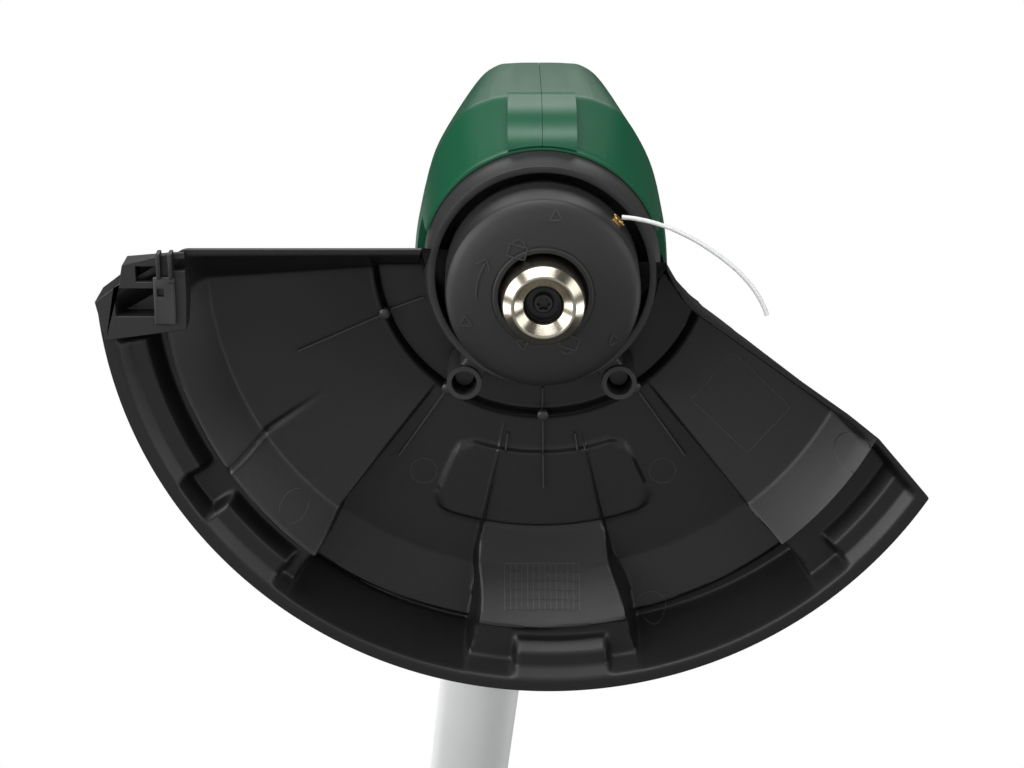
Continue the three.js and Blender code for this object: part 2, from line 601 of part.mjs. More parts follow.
function buildRearHandle(group) {
  const half = 21;
  const profile = roundOutline(HANDLE_PROFILE, 10);
  const opening = roundOutline(HAND_OPENING, 8);
  let shell = slab(profile, half, 5);
  shell = shell.subtract(slab(opening, half + 5));
  const cavity = slab(inflated(profile, 3), half - 3).subtract(slab(inflated(opening, 3), half));
  shell = shell.subtract(cavity);
  // Wide foot over the battery, the collar for the tube, the slots for the controls.
  const foot = slab([[978, -58], [1090, -58], [1090, -34], [1000, -34]], 36, 3);
  const footHollow = slab([[982, -56], [1087, -56], [1087, -38], [1004, -38]], 33);
  shell = shell.add(foot).subtract(footHollow.subtract(slab(inflated(opening, 3), 60)));
  shell = shell.subtract(alongShaft(rod(UPPER_TUBE_RADIUS + GAP, 700, UPPER_TUBE_END + 4, 40), 0));
  shell = shell.subtract(slab([[894, -4], [894, 24], [934, 24], [934, -4]], 7.4));
  shell = shell.subtract(rod(7.4, 20, 60, 20).translate([0, 884, 0]));
  shell = shell.subtract(slab([[1004, -70], [1080, -70], [1080, -50], [1004, -50]], 16));
  for (const [station, height] of HANDLE_SCREWS) {
    const post = alongX(rod(4.6, -half + 1, half - 1, 12)).translate([0, station, height]);
    const hole = alongX(rod(1.9, -half + 4, half + 5, 12)).translate([0, station, height]);
    const sink = alongX(rod(3.9, half - 3.4, half + 5, 12)).translate([0, station, height]);
    shell = shell.add(post).subtract(hole).subtract(sink);
  }
  const biggest = (body) => body.decompose().sort((a, b) => b.volume() - a.volume())[0];
  const left = block(60, 500, 300, [-30 - GAP / 2, 940, 0]);
  const right = block(60, 500, 300, [30 + GAP / 2, 940, 0]);
  piece(group, 'rear_handle_left', 'green', biggest(shell.intersect(left)));
  piece(group, 'rear_handle_right', 'green', biggest(shell.intersect(right)));
  HANDLE_SCREWS.forEach(([station, height], i) => {
    const fastener = place(screw(3.4, 2.2, 1.6, 14), { turnY: -90 }).translate([half - 3.1, station, height]);
    piece(group, `handle_screw_${i + 1}`, 'zinc', fastener);
  });
  const contacts = slab([[1010, -57], [1074, -57], [1074, -50.5], [1010, -50.5]], 15.6);
  piece(group, 'contact_block', 'black', contacts);
}

const HANDLE_SCREWS = [[856, 14], [1044, 14], [1030, -46]];

// Trigger in the shaft plane, hinged at its front end inside the grip.
const TRIGGER_PIN = [898, 20];

function buildTrigger(group) {
  const blade = slab(roundOutline([[894.4, 17], [894.4, 23], [902, 23.6], [926, 18], [932, 10], [929, -1],
    [920, -5], [908, 2]], 3), 7, 1);
  piece(group, 'trigger', 'rubber', blade);
}

function buildControls(group) {
  piece(group, 'power_switch', 'black', block(11, 22, 12, [0, 924, 31]));
}

function buildLockButton(group) {
  const button = turned([[0, 30], [8.6, 30], [8.6, 33], [7, 33], [7, 45.5], [6, 47.5], [0, 47.5]], 20);
  piece(group, 'lock_button', 'black', button.translate([0, 884, 0]));
}

// ---- battery ------------------------------------------------------------------------------------
const PACK_TOP = -58 - GAP;
const PACK_FLOOR = -112;
const PACK_FRONT = 978;
const PACK_BACK = 1092;

function buildBattery(group) {
  const half = 37;
  const wall = 2.4;
  const middle = -86;
  const outline = roundOutline([
    [PACK_FRONT, PACK_FLOOR], [PACK_FRONT, PACK_TOP], [PACK_BACK, PACK_TOP], [PACK_BACK, PACK_FLOOR],
  ], 9);
  const hollow = [
    [PACK_FRONT + wall, PACK_FLOOR + wall], [PACK_FRONT + wall, PACK_TOP - wall],
    [PACK_BACK - wall, PACK_TOP - wall], [PACK_BACK - wall, PACK_FLOOR + wall],
  ];
  const shell = slab(outline, half, 4).subtract(slab(hollow, half - wall));
  const above = block(200, 300, 100, [0, 1030, middle + 50 + GAP / 2]);
  const below = block(200, 300, 100, [0, 1030, middle - 50 - GAP / 2]);
  const window = block(12.6, 30, 9, [0, PACK_FRONT, -66]);
  piece(group, 'battery_cover', 'black', shell.intersect(above).subtract(window));
  piece(group, 'battery_base', 'black', shell.intersect(below));
  for (let i = 0; i < 5; i += 1) {
    const cell = alongX(rod(9, -32.5, 32.5, 16)).translate([0, PACK_FRONT + 16 + i * 20.5, -86]);
    piece(group, `battery_cell_${i + 1}`, 'cell', cell);
  }
}

function buildBatteryButton(group) {
  piece(group, 'battery_button', 'rubber', block(12, 11, 8, [0, PACK_FRONT - 1, -66]));
}

// ---- internal lead ------------------------------------------------------------------------------
function buildLeads(group) {
  const straight = [[0, -14, 0], [0, 20, 0], [0, 80, 0], [0, 160, 0]];
  piece(group, 'neck_lead', 'rubber', pathTube(straight, 3, 8, 14));
  const spiral = [[0, 308, 0], [0, 560, 0], [0, 836, 0]];
  piece(group, 'spiral_lead', 'rubber', pathTube(spiral, 8, 8, 10));
}

buildNeck(shaft);
buildTubes(shaft);
buildClamp(shaft);
buildTiltPins(shaft);
buildTiltButton(shaft);
buildAuxHandle(shaft);
buildAuxLoop(shaft);
buildAuxBolt(shaft);
buildRearHandle(shaft);
buildTrigger(shaft);
buildControls(shaft);
buildLockButton(shaft);
buildBattery(shaft);
buildBatteryButton(shaft);
buildLeads(shaft);

// The origin of the finished object is the middle of the rear hand grip.
object.updateMatrixWorld(true);
const grip = new THREE.Vector3(0, GRIP_STATION, GRIP_HEIGHT).applyMatrix4(shaft.matrixWorld);
object.position.copy(grip).negate();

export default object;
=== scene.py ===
# Cordless string trimmer, seen from below: guard, line spool, motor housing, shaft, handles and battery.
import json
import math

import bmesh
import bpy
from mathutils import Matrix, Vector

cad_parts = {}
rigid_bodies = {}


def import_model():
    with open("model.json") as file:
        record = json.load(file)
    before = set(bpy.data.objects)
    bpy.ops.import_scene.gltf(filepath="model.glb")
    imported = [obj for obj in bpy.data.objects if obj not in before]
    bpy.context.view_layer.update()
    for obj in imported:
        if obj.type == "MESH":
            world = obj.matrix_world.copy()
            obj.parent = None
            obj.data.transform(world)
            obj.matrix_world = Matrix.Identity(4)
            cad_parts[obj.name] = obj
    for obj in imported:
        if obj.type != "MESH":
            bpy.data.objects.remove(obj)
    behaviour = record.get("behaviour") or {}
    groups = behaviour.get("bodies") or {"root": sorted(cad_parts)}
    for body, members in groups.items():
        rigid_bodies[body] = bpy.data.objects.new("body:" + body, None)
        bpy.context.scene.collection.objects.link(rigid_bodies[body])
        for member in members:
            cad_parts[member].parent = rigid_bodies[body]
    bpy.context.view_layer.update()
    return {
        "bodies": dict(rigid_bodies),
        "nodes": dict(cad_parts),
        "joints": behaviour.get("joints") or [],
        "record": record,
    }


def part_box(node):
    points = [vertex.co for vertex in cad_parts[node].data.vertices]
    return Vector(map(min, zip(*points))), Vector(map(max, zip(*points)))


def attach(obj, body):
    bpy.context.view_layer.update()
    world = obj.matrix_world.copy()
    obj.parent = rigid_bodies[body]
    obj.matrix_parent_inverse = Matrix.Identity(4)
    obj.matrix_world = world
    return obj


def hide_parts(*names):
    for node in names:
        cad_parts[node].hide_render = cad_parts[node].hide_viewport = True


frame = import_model()
scene = bpy.context.scene

# Sizes below are in millimetres in two work frames. The head frame starts on the spool axis at the
# cap's rim, level; the shaft frame starts on the tilt hinge, X along its pin and Y up the shaft.
mm = 0.001
joints = {joint["name"]: joint for joint in frame["joints"]}
capLow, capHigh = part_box("spool_cap")
capNose = 4.0  # the cap's face stands this far below its rim
headOrigin = Vector(((capLow.x + capHigh.x) / 2, (capLow.y + capHigh.y) / 2, capLow.z + capNose * mm))
pinAxis = Vector(joints["head_tilt"]["axis"]).normalized()
shaftAxis = Vector(joints["telescope"]["axis"]).normalized()
tiltPivot = Vector(joints["head_tilt"]["pos_m"])
headPlace = Matrix.Translation(headOrigin) @ Matrix.Scale(mm, 4)
shaftTurn = Matrix((pinAxis, shaftAxis, pinAxis.cross(shaftAxis))).transposed().to_4x4()
shaftPlace = Matrix.Translation(tiltPivot) @ shaftTurn @ Matrix.Scale(mm, 4)
shaftInHead = headPlace.inverted() @ shaftPlace


# camera
cameraSettings = {
    "place": (-10.73, -234.5, -765.5),  # from the head frame's origin
    "tilt": 19.27,  # degrees the view leans from straight up
    "lens": 81.3,
    "sensor": 36,
}


def makeCamera(settings):
    lean = math.radians(settings["tilt"])
    forward = Vector((0, math.sin(lean), math.cos(lean)))
    up = Vector((0, -math.cos(lean), math.sin(lean)))
    right = forward.cross(up)
    data = bpy.data.cameras.new("camera")
    data.lens = settings["lens"]
    data.sensor_width = settings["sensor"]
    camera = bpy.data.objects.new("camera", data)
    turn = Matrix((right, up, -forward)).transposed().to_4x4()
    camera.matrix_world = Matrix.Translation(headPlace @ Vector(settings["place"])) @ turn
    scene.collection.objects.link(camera)
    scene.camera = camera


makeCamera(cameraSettings)
print("camera made")


# shader helpers
class Wire:  # a node's output that can stand in a sum
    def __init__(self, finish, socket):
        self.finish = finish
        self.socket = socket

    def sum(self, operation, first, second=None):
        values = {0: first} if second is None else {0: first, 1: second}
        return self.finish.node("ShaderNodeMath", {"operation": operation}, values)

    def __add__(self, other):
        return self.sum("ADD", self, other)

    def __radd__(self, other):
        return self.sum("ADD", other, self)

    def __sub__(self, other):
        return self.sum("SUBTRACT", self, other)

    def __rsub__(self, other):
        return self.sum("SUBTRACT", other, self)

    def __mul__(self, other):
        return self.sum("MULTIPLY", self, other)

    def __rmul__(self, other):
        return self.sum("MULTIPLY", other, self)

    def __pow__(self, other):
        return self.sum("POWER", self, other)

    def over(self, limit):
        return self.sum("GREATER_THAN", self, limit)


colourA, colourB, colourResult = 6, 7, 2  # the Mix node's sockets for colours


class Finish:
    def __init__(self, name, **constants):
        self.material = bpy.data.materials.new(name)
        self.material.use_nodes = True
        self.tree = self.material.node_tree
        self.shader = self.tree.nodes["Principled BSDF"]
        self.sockets = self.shader.inputs
        for key, value in constants.items():
            self.sockets[key.replace("_", " ")].default_value = value
        self.place = self.node("ShaderNodeTexCoord", {}, {}, "Object")

    def node(self, kind, settings, values, output=0):
        # any node: its type, its settings, then the values or wires of its sockets
        made = self.tree.nodes.new(kind)
        for key, value in settings.items():
            setattr(made, key, value)
        for key, value in values.items():
            if isinstance(value, Wire):
                self.tree.links.new(value.socket, made.inputs[key])
            else:
                made.inputs[key].default_value = value
        return Wire(self, made.outputs[output])

    def feed(self, socketName, wire):
        self.tree.links.new(wire.socket, self.sockets[socketName])

    def noise(self, scale, detail=3.0, roughness=0.5, place=None):
        values = {"Vector": place or self.place, "Scale": scale, "Detail": detail, "Roughness": roughness}
        return self.node("ShaderNodeTexNoise", {}, values, "Fac")

    def blend(self, factor, first, second):
        values = {"Factor": factor, colourA: (*first, 1), colourB: (*second, 1)}
        return self.node("ShaderNodeMix", {"data_type": "RGBA"}, values, colourResult)

    def bump(self, height, depth, strength=1.0, after=None):
        values = {"Height": height, "Distance": depth, "Strength": strength}
        if after:
            values["Normal"] = after
        return self.node("ShaderNodeBump", {}, values, "Normal")

    def centred(self, matrix):
        # coordinates from a work frame's origin, in its own directions, in millimetres
        inverse = matrix.inverted()
        values = {"Vector": self.place, "Location": inverse.to_translation(), "Rotation": inverse.to_euler(),
                  "Scale": inverse.to_scale()}
        return self.node("ShaderNodeMapping", {"vector_type": "POINT"}, values, "Vector")

    def parts(self, vector):
        split = self.node("ShaderNodeSeparateXYZ", {}, {"Vector": vector}).socket.node
        return [Wire(self, socket) for socket in split.outputs]


def mouldedPlastic(name, dark, light, roughness, grain, grainDepth, spread=14.0, **constants):
    # injection moulding: cloudy tone, fine spark-eroded grain, faint handling marks
    finish = Finish(name, **constants)
    cloud = finish.noise(spread, 4, 0.6)
    fine = finish.noise(grain, 2, 0.6)
    marks = finish.noise(90, 5, 0.7)
    dust = marks.over(0.68) * 0.35
    finish.feed("Base Color", finish.blend(cloud * 0.8 + dust * 0.5, dark, light))
    finish.feed("Roughness", roughness - 0.07 + cloud * 0.1 + marks * 0.06)
    finish.feed("Normal", finish.bump(fine, grainDepth * mm, 0.8))
    return finish.material


finishes = {
    "guardBlack": mouldedPlastic("guardBlack", (0.0036, 0.0036, 0.0037), (0.0075, 0.0075, 0.0077), 0.42,
                                 1500, 0.05, Specular_IOR_Level=0.42),
    "capBlack": mouldedPlastic(
        "capBlack", (0.0065, 0.0066, 0.0068), (0.0125, 0.0126, 0.013), 0.5, 2600, 0.04),
    "collarBlack": mouldedPlastic(
        "collarBlack", (0.016, 0.016, 0.0162), (0.03, 0.03, 0.0305), 0.5, 1100, 0.09),
    "bodyBlack": mouldedPlastic(
        "bodyBlack", (0.007, 0.007, 0.0074), (0.013, 0.013, 0.0135), 0.45, 1700, 0.05),
    # painted highlight: the raised ribs, bosses and marks are the same black plastic as the guard and the
    # cap, coloured lighter to stand in for the light their edges catch
    "ribHighlightBlack": mouldedPlastic("ribHighlightBlack", (0.02, 0.02, 0.0204), (0.036, 0.036, 0.0365), 0.34, 1500, 0.03),
    "shellGreen": mouldedPlastic("shellGreen", (0.0004, 0.064, 0.026), (0.001, 0.086, 0.036), 0.42,
                                 1900, 0.035, Specular_IOR_Level=0.5),
}


def gripRubber():
    finish = Finish("gripRubber", Specular_IOR_Level=0.35)
    spots = finish.node("ShaderNodeTexVoronoi", {"feature": "F1", "distance": "EUCLIDEAN"},
                        {"Vector": finish.place, "Scale": 430.0, "Randomness": 0.15}, "Distance")
    cloud = finish.noise(20)
    wear = finish.noise(120, 5, 0.7)
    tone = cloud * 0.7 + wear * 0.3
    grain = finish.bump(finish.noise(2400, 2), 0.05 * mm, 0.7)
    finish.feed("Base Color", finish.blend(tone, (0.006, 0.006, 0.0062), (0.013, 0.013, 0.0132)))
    finish.feed("Roughness", 0.66 + wear * 0.18)
    finish.feed("Normal", finish.bump(spots, 0.35 * mm, 0.7, grain))
    return finish.material


def turnedSteel():
    # lathe-turned face: fine rings about the spool axis, darker where oil has stained it
    finish = Finish("turnedSteel", Metallic=1.0)
    x, y, z = finish.parts(finish.centred(headPlace))
    radius = (x * x + y * y) ** 0.5
    rings = finish.node("ShaderNodeTexNoise", {"noise_dimensions": "1D"},
                        {"W": radius, "Scale": 9.0, "Detail": 3.0}, "Fac")
    stain = finish.noise(160, 4, 0.6)
    finish.feed("Base Color", finish.blend(stain, (0.3, 0.27, 0.2), (0.52, 0.49, 0.42)))
    finish.feed("Roughness", 0.13 + rings * 0.12 + stain * 0.06)
    finish.feed("Normal", finish.bump(rings, 0.012 * mm, 0.6))
    return finish.material


def metal(name, dark, light, roughness, grain=(500.0, 500.0, 500.0), depth=0.01, **constants):
    finish = Finish(name, Metallic=1.0, **constants)
    stretched = finish.node("ShaderNodeMapping", {}, {"Vector": finish.place, "Scale": grain}, "Vector")
    lines = finish.noise(1.0, 4, 0.6, stretched)
    cloud = finish.noise(60, 4, 0.6)
    finish.feed("Base Color", finish.blend(cloud, dark, light))
    finish.feed("Roughness", roughness + lines * 0.1 + cloud * 0.06)
    finish.feed("Normal", finish.bump(lines, depth * mm, 0.6))
    return finish.material


def shaftAluminium():
    # drawn and satin-anodised tube, its grain along the shaft
    finish = Finish("shaftAluminium", Metallic=0.2)
    x, y, z = finish.parts(finish.centred(shaftPlace))
    along = finish.node("ShaderNodeCombineXYZ", {}, {0: x * 3.0, 1: y * 0.02, 2: z * 3.0}, "Vector")
    lines = finish.noise(1.0, 4, 0.65, along)
    cloud = finish.noise(25, 3, 0.5)
    finish.feed("Base Color", finish.blend(cloud, (0.76, 0.765, 0.77), (0.86, 0.865, 0.87)))
    finish.feed("Roughness", 0.36 + lines * 0.12 + cloud * 0.05)
    finish.feed("Normal", finish.bump(lines, 0.012 * mm, 0.5))
    return finish.material


def lineNylon():
    # monofilament, milky and faintly ribbed
    finish = Finish("lineNylon", Coat_Weight=0.4)
    scuff = finish.noise(900, 4, 0.7)
    finish.feed("Base Color", finish.blend(scuff, (0.6, 0.61, 0.61), (0.8, 0.81, 0.81)))
    finish.feed("Roughness", 0.22 + scuff * 0.2)
    finish.feed("Normal", finish.bump(scuff, 0.02 * mm, 0.5))
    return finish.material


def woundCopper():
    finish = Finish("woundCopper", Metallic=0.85)
    strands = finish.node("ShaderNodeTexWave", {"bands_direction": "Z"},
                          {"Vector": finish.place, "Scale": 280.0, "Distortion": 1.5, "Detail": 2.0}, "Fac")
    finish.feed("Base Color", finish.blend(strands, (0.18, 0.055, 0.02), (0.62, 0.25, 0.1)))
    finish.feed("Roughness", 0.3 + strands * 0.15)
    finish.feed("Normal", finish.bump(strands, 0.3 * mm, 0.8))
    return finish.material


def cellWrap():
    finish = Finish("cellWrap", Coat_Weight=0.3)
    folds = finish.noise(140, 4, 0.6)
    finish.feed("Base Color", finish.blend(folds, (0.02, 0.11, 0.25), (0.03, 0.17, 0.36)))
    finish.feed("Roughness", 0.3 + folds * 0.15)
    finish.feed("Normal", finish.bump(folds, 0.15 * mm, 0.5))
    return finish.material


finishes.update({
    "gripRubber": gripRubber(),
    "turnedSteel": turnedSteel(),
    "shaftAluminium": shaftAluminium(),
    "lineNylon": lineNylon(),
    "woundCopper": woundCopper(),
    "cellWrap": cellWrap(),
    "zincPlate": metal("zincPlate", (0.36, 0.36, 0.35), (0.55, 0.55, 0.53), 0.28),
    "darkScrew": metal("darkScrew", (0.025, 0.025, 0.025), (0.06, 0.06, 0.058), 0.3),
    "bladeSteel": metal("bladeSteel", (0.05, 0.05, 0.052), (0.1, 0.1, 0.102), 0.38, (900.0, 60.0, 900.0)),
    "polishedSteel": metal("polishedSteel", (0.45, 0.45, 0.44), (0.62, 0.62, 0.6), 0.18,
                           (900.0, 40.0, 900.0)),
    "brassBush": metal("brassBush", (0.55, 0.33, 0.09), (0.8, 0.52, 0.19), 0.2),
})
print("finishes made:", len(finishes))


# mesh helpers
def linked(name, mesh):
    made = bpy.data.objects.new(name, mesh)
    scene.collection.objects.link(made)
    return made


def settle(bm, place=None):
    # merged and turned outwards, then put in its place
    bmesh.ops.remove_doubles(bm, verts=bm.verts, dist=0.001)
    bmesh.ops.recalc_face_normals(bm, faces=bm.faces)
    if place:
        bmesh.ops.transform(bm, matrix=place, verts=bm.verts)
    for face in bm.faces:
        face.smooth = True


def rough(name, bm, place=None):
    # a working solid, in the work frame, for joining and cutting
    settle(bm, place)
    mesh = bpy.data.meshes.new(name)
    bm.to_mesh(mesh)
    bm.free()
    return linked(name, mesh)


def combined(target, tool, operation):
    # joins or cuts two working solids and drops the tool
    modifier = target.modifiers.new("combine", "BOOLEAN")
    modifier.operation = operation
    modifier.solver = "EXACT"
    modifier.object = tool
    graph = bpy.context.evaluated_depsgraph_get()
    mesh = bpy.data.meshes.new_from_object(target.evaluated_get(graph))
    target.modifiers.clear()
    target.data = mesh
    bpy.data.objects.remove(tool)
    return target


def finished(name, bm, place, body, finish, stands=(), edge=0.0, segments=3, sharp=32):
    # a visible piece: smooth faces, softened edges, its finish, its body and what it stands for
    settle(bm, place)
    for side in bm.edges:
        side.smooth = len(side.link_faces) == 2 and side.calc_face_angle(0) < math.radians(sharp)
    mesh = bpy.data.meshes.new(name)
    bm.to_mesh(mesh)
    bm.free()
    piece = linked(name, mesh)
    mesh.materials.append(finishes[finish])
    if edge:
        for side in mesh.edges:
            side.use_edge_sharp = False
        soften = piece.modifiers.new("soften", "BEVEL")
        soften.width = edge * mm
        soften.segments = segments
        soften.limit_method = "ANGLE"
        soften.angle_limit = math.radians(sharp)
        soften.harden_normals = True
        soften.use_clamp_overlap = True
    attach(piece, body)
    if stands:
        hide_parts(*stands)
    return piece


def fromRough(name, solid, place, body, finish, stands=(), edge=0.0, segments=2, sharp=35):
    bm = bmesh.new()
    bm.from_mesh(solid.data)
    bpy.data.objects.remove(solid)
    bmesh.ops.dissolve_limit(bm, angle_limit=math.radians(0.6), verts=bm.verts, edges=bm.edges)
    return finished(name, bm, place, body, finish, stands, edge, segments, sharp)


def turned(profile, steps=96):
    # spins [radius, height] points about Z; a profile that starts on the axis stays open
    bm = bmesh.new()
    points = [bm.verts.new((radius, 0, height)) for radius, height in profile]
    sides = [bm.edges.new(pair) for pair in zip(points, points[1:])]
    if profile[0][0] > 0:
        sides.append(bm.edges.new((points[-1], points[0])))
    bmesh.ops.spin(bm, geom=points + sides, cent=(0, 0, 0), axis=(0, 0, 1), angle=math.tau, steps=steps,
                   use_merge=True)
    return bm


def rod(radius, low, high, steps=32):
    bm = bmesh.new()
    shift = Matrix.Translation((0, 0, (low + high) / 2))
    bmesh.ops.create_cone(bm, cap_ends=True, segments=steps, radius1=radius, radius2=radius, depth=high - low,
                          matrix=shift)
    return bm


def block(size, centre=(0, 0, 0)):
    bm = bmesh.new()
    shape = Matrix.Translation(centre) @ Matrix.Diagonal((*size, 1))
    bmesh.ops.create_cube(bm, size=1, matrix=shape)
    return bm


def movedBy(bm, matrix):
    bmesh.ops.transform(bm, matrix=matrix, verts=bm.verts)
    return bm


def slab(outline, low, high):
    # a drawn outline in XY, raised from low to high
    bm = bmesh.new()
    face = bm.faces.new([bm.verts.new((x, y, low)) for x, y in outline])
    raised = bmesh.ops.extrude_face_region(bm, geom=[face])["geom"]
    tops = [item for item in raised if isinstance(item, bmesh.types.BMVert)]
    bmesh.ops.translate(bm, vec=(0, 0, high - low), verts=tops)
    return bm


alongX = Matrix.Rotation(math.radians(90), 4, "Y")
alongY = Matrix.Rotation(math.radians(-90), 4, "X")
# an outline drawn along Y and Z, its thickness along X
sideView = Matrix(((0, 0, 1, 0), (1, 0, 0, 0), (0, 1, 0, 0), (0, 0, 0, 1)))


def spline(points, count, closed=False):
    # evenly numbered points on a smooth curve through a few chosen ones
    total = len(points)
    out = []
    spans = total if closed else total - 1
    for step in range(count):
        t = step / (count if closed else count - 1) * spans
        i = min(int(t), spans - 1)
        t -= i
        near = [(i + k) % total if closed else min(max(i + k, 0), total - 1) for k in (-1, 0, 1, 2)]
        a, b, c, d = (Vector(points[k]) for k in near)
        out.append(0.5 * ((2 * b) + (c - a) * t + (2 * a - 5 * b + 4 * c - d) * t * t
                          + (3 * b - a - 3 * c + d) * t ** 3))
    return out


def between(table, x):
    # straight steps between [x, value] pairs
    if x <= table[0][0]:
        return table[0][1]
    for (x0, v0), (x1, v1) in zip(table, table[1:]):
        if x <= x1:
            return v0 + (v1 - v0) * (x - x0) / (x1 - x0)
    return table[-1][1]


def eased(x, low, high):
    t = min(max((x - low) / (high - low), 0.0), 1.0)
    return t * t * (3 - 2 * t)


def ribbon(bm, path, width, height, surface, closed=False, sink=0.4):
    # a thin raised line laid on a surface that faces down; surface gives z for x, y
    count = len(path)
    rows = count if closed else count - 1
    section = [(-0.5, sink), (-0.28, -height), (0.28, -height), (0.5, sink), (-0.5, sink)]
    made = bmesh.ops.create_grid(bm, x_segments=rows, y_segments=4, size=0.5)["verts"]
    for vert in made:
        row = round((vert.co.x + 0.5) * rows)
        side, lift = section[round((vert.co.y + 0.5) * 4)]
        here = path[row % count]
        ahead = path[(row + 1) % count] if closed else path[min(row + 1, count - 1)]
        behind = path[(row - 1) % count] if closed else path[max(row - 1, 0)]
        run = Vector((ahead[0] - behind[0], ahead[1] - behind[1])).normalized()
        x = here[0] - run.y * side * width
        y = here[1] + run.x * side * width
        vert.co = (x, y, surface(x, y) + lift)
    bmesh.ops.remove_doubles(bm, verts=made, dist=0.0005)
    if not closed:
        ends = [side for side in bm.edges if side.is_boundary]
        bmesh.ops.holes_fill(bm, edges=ends, sides=8)
    return bm


def arc(x, y, radius, first, last, count=12):
    span = [first + (last - first) * i / (count - 1) for i in range(count)]
    return [(x + radius * math.cos(math.radians(a)), y + radius * math.sin(math.radians(a))) for a in span]


def fineLine(points, step=1.0):
    out = []
    for a, b in zip(points, points[1:]):
        parts = max(round(math.dist(a, b) / step), 1)
        out += [(a[0] + (b[0] - a[0]) * i / parts, a[1] + (b[1] - a[1]) * i / parts) for i in range(parts)]
    return out + [points[-1]]


def addPart(bm, part):
    # adds one finished form to a piece that holds several
    mesh = bpy.data.meshes.new("part")
    part.to_mesh(mesh)
    part.free()
    bm.from_mesh(mesh)
    bpy.data.meshes.remove(mesh)


# cutting line, a free cord
lineSettings = {
    "diameter": 1.6,
    "route": [
        (27.3, -24.6, 10), (30.6, -24.3, 10), (34.0, -23.7, 10), (37.4, -22.9, 10), (40.7, -21.9, 10),
        (43.9, -20.8, 10), (47.6, -19.1, 10), (51.2, -17.3, 10), (54.7, -15.3, 10), (58.0, -13.1, 10),
        (61.2, -10.9, 9.9), (64.2, -8.6, 9.9), (67.2, -6.1, 9.8), (70.1, -3.2, 9.8), (72.8, -0.1, 9.7),
        (75.3, 3.4, 9.6), (77.3, 7.0, 9.6), (78.9, 10.9, 9.5),
    ],
}


def makeLine(settings):
    route = [headPlace @ Vector(point) for point in settings["route"]]
    curve = bpy.data.curves.new("trimmer_line", "CURVE")
    curve.dimensions = "3D"
    curve.bevel_depth = settings["diameter"] / 2 * mm
    curve.bevel_resolution = 5
    curve.resolution_u = 6
    curve.use_fill_caps = True
    path = curve.splines.new("BEZIER")
    path.bezier_points.add(len(route) - 1)
    for knot, point in zip(path.bezier_points, route):
        knot.co = point
        knot.handle_left_type = knot.handle_right_type = "AUTO"
    line = linked("trimmer_line", curve)
    curve.materials.append(finishes["lineNylon"])
    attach(line, "spool")
    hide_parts("cutting_line")
    length = sum((b - a).length for a, b in zip(route, route[1:]))
    tuple(route[0])


makeLine(lineSettings)
print("cutting line made")


# floor and light
stageSettings = {
    "floorHeight": -1.42,
    "floorSize": 60.0,
    "floorTones": [(0.8, 0.8, 0.8), (0.84, 0.84, 0.84)],
    "softboxes": [  # place and aim from the head origin in metres, size, power
        {"place": (-0.95, -0.3, -0.5), "aim": (0, 0, 0), "size": (0.6, 0.9), "power": 9},
        {"place": (0.95, -0.3, -0.5), "aim": (0, 0, 0), "size": (0.5, 0.8), "power": 3.6},
        {"place": (-0.15, -1.15, -0.3), "aim": (0, 0, 0), "size": (1.3, 0.5), "power": 15},
        {"place": (0.1, 0.5, -1.15), "aim": (0, 0.1, 0), "size": (0.9, 0.5), "power": 1.2},
        {"place": (0, -0.6, 0.95), "aim": (0, 0, 0.1), "size": (1.0, 0.5), "power": 3.8},
        {"place": (-0.95, 0.34, -0.15), "aim": (0, 0, 0), "size": (0.3, 0.3), "power": 1.5},
        {"place": (0.95, 0.34, -0.15), "aim": (0, 0, 0), "size": (0.3, 0.3), "power": 1.5},
        {"place": (-0.9, 1.2, 1.6), "aim": (0, 0.6, 0.2), "size": (1.4, 1.4), "power": 9},
        {"place": (1.3, 0.9, 0.9), "aim": (0, 0.6, 0.3), "size": (1.0, 1.4), "power": 5},
    ],
    "seenWhite": 1.0,
    "fillLight": 0.07,
}


def makeStage(settings):
    bm = bmesh.new()
    bmesh.ops.create_grid(bm, x_segments=1, y_segments=1, size=settings["floorSize"] / 2)
    bmesh.ops.translate(bm, vec=(0, 0, settings["floorHeight"]), verts=bm.verts)
    mesh = bpy.data.meshes.new("floor")
    bm.to_mesh(mesh)
    bm.free()
    floor = linked("floor", mesh)
    paint = Finish("floorPaint", Roughness=0.8)
    paint.feed("Base Color", paint.blend(paint.noise(3), *settings["floorTones"]))
    mesh.materials.append(paint.material)
    for i, box in enumerate(settings["softboxes"]):
        data = bpy.data.lights.new(f"softbox_{i}", "AREA")
        data.shape = "RECTANGLE"
        data.size, data.size_y = box["size"]
        data.energy = box["power"]
        lamp = bpy.data.objects.new(f"softbox_{i}", data)
        spot = headOrigin + Vector(box["place"])
        aim = headOrigin + Vector(box["aim"])
        turn = (aim - spot).to_track_quat("-Z", "Y").to_matrix().to_4x4()
        lamp.matrix_world = Matrix.Translation(spot) @ turn
        scene.collection.objects.link(lamp)
    world = bpy.data.worlds.new("studio")
    scene.world = world
    world.use_nodes = True
    nodes, links = world.node_tree.nodes, world.node_tree.links
    seen = nodes["Background"]
    seen.inputs[0].default_value = (1, 1, 1, 1)
    seen.inputs[1].default_value = settings["seenWhite"]
    fill = nodes.new("ShaderNodeBackground")
    fill.inputs[0].default_value = (1, 1, 1, 1)
    fill.inputs[1].default_value = settings["fillLight"]
    rays = nodes.new("ShaderNodeLightPath")
    mix = nodes.new("ShaderNodeMixShader")
    links.new(rays.outputs["Is Camera Ray"], mix.inputs[0])
    links.new(fill.outputs[0], mix.inputs[1])
    links.new(seen.outputs[0], mix.inputs[2])
    links.new(mix.outputs[0], nodes["World Output"].inputs[0])
    scene.view_settings.view_transform = "Standard"


makeStage(stageSettings)
print("stage made")


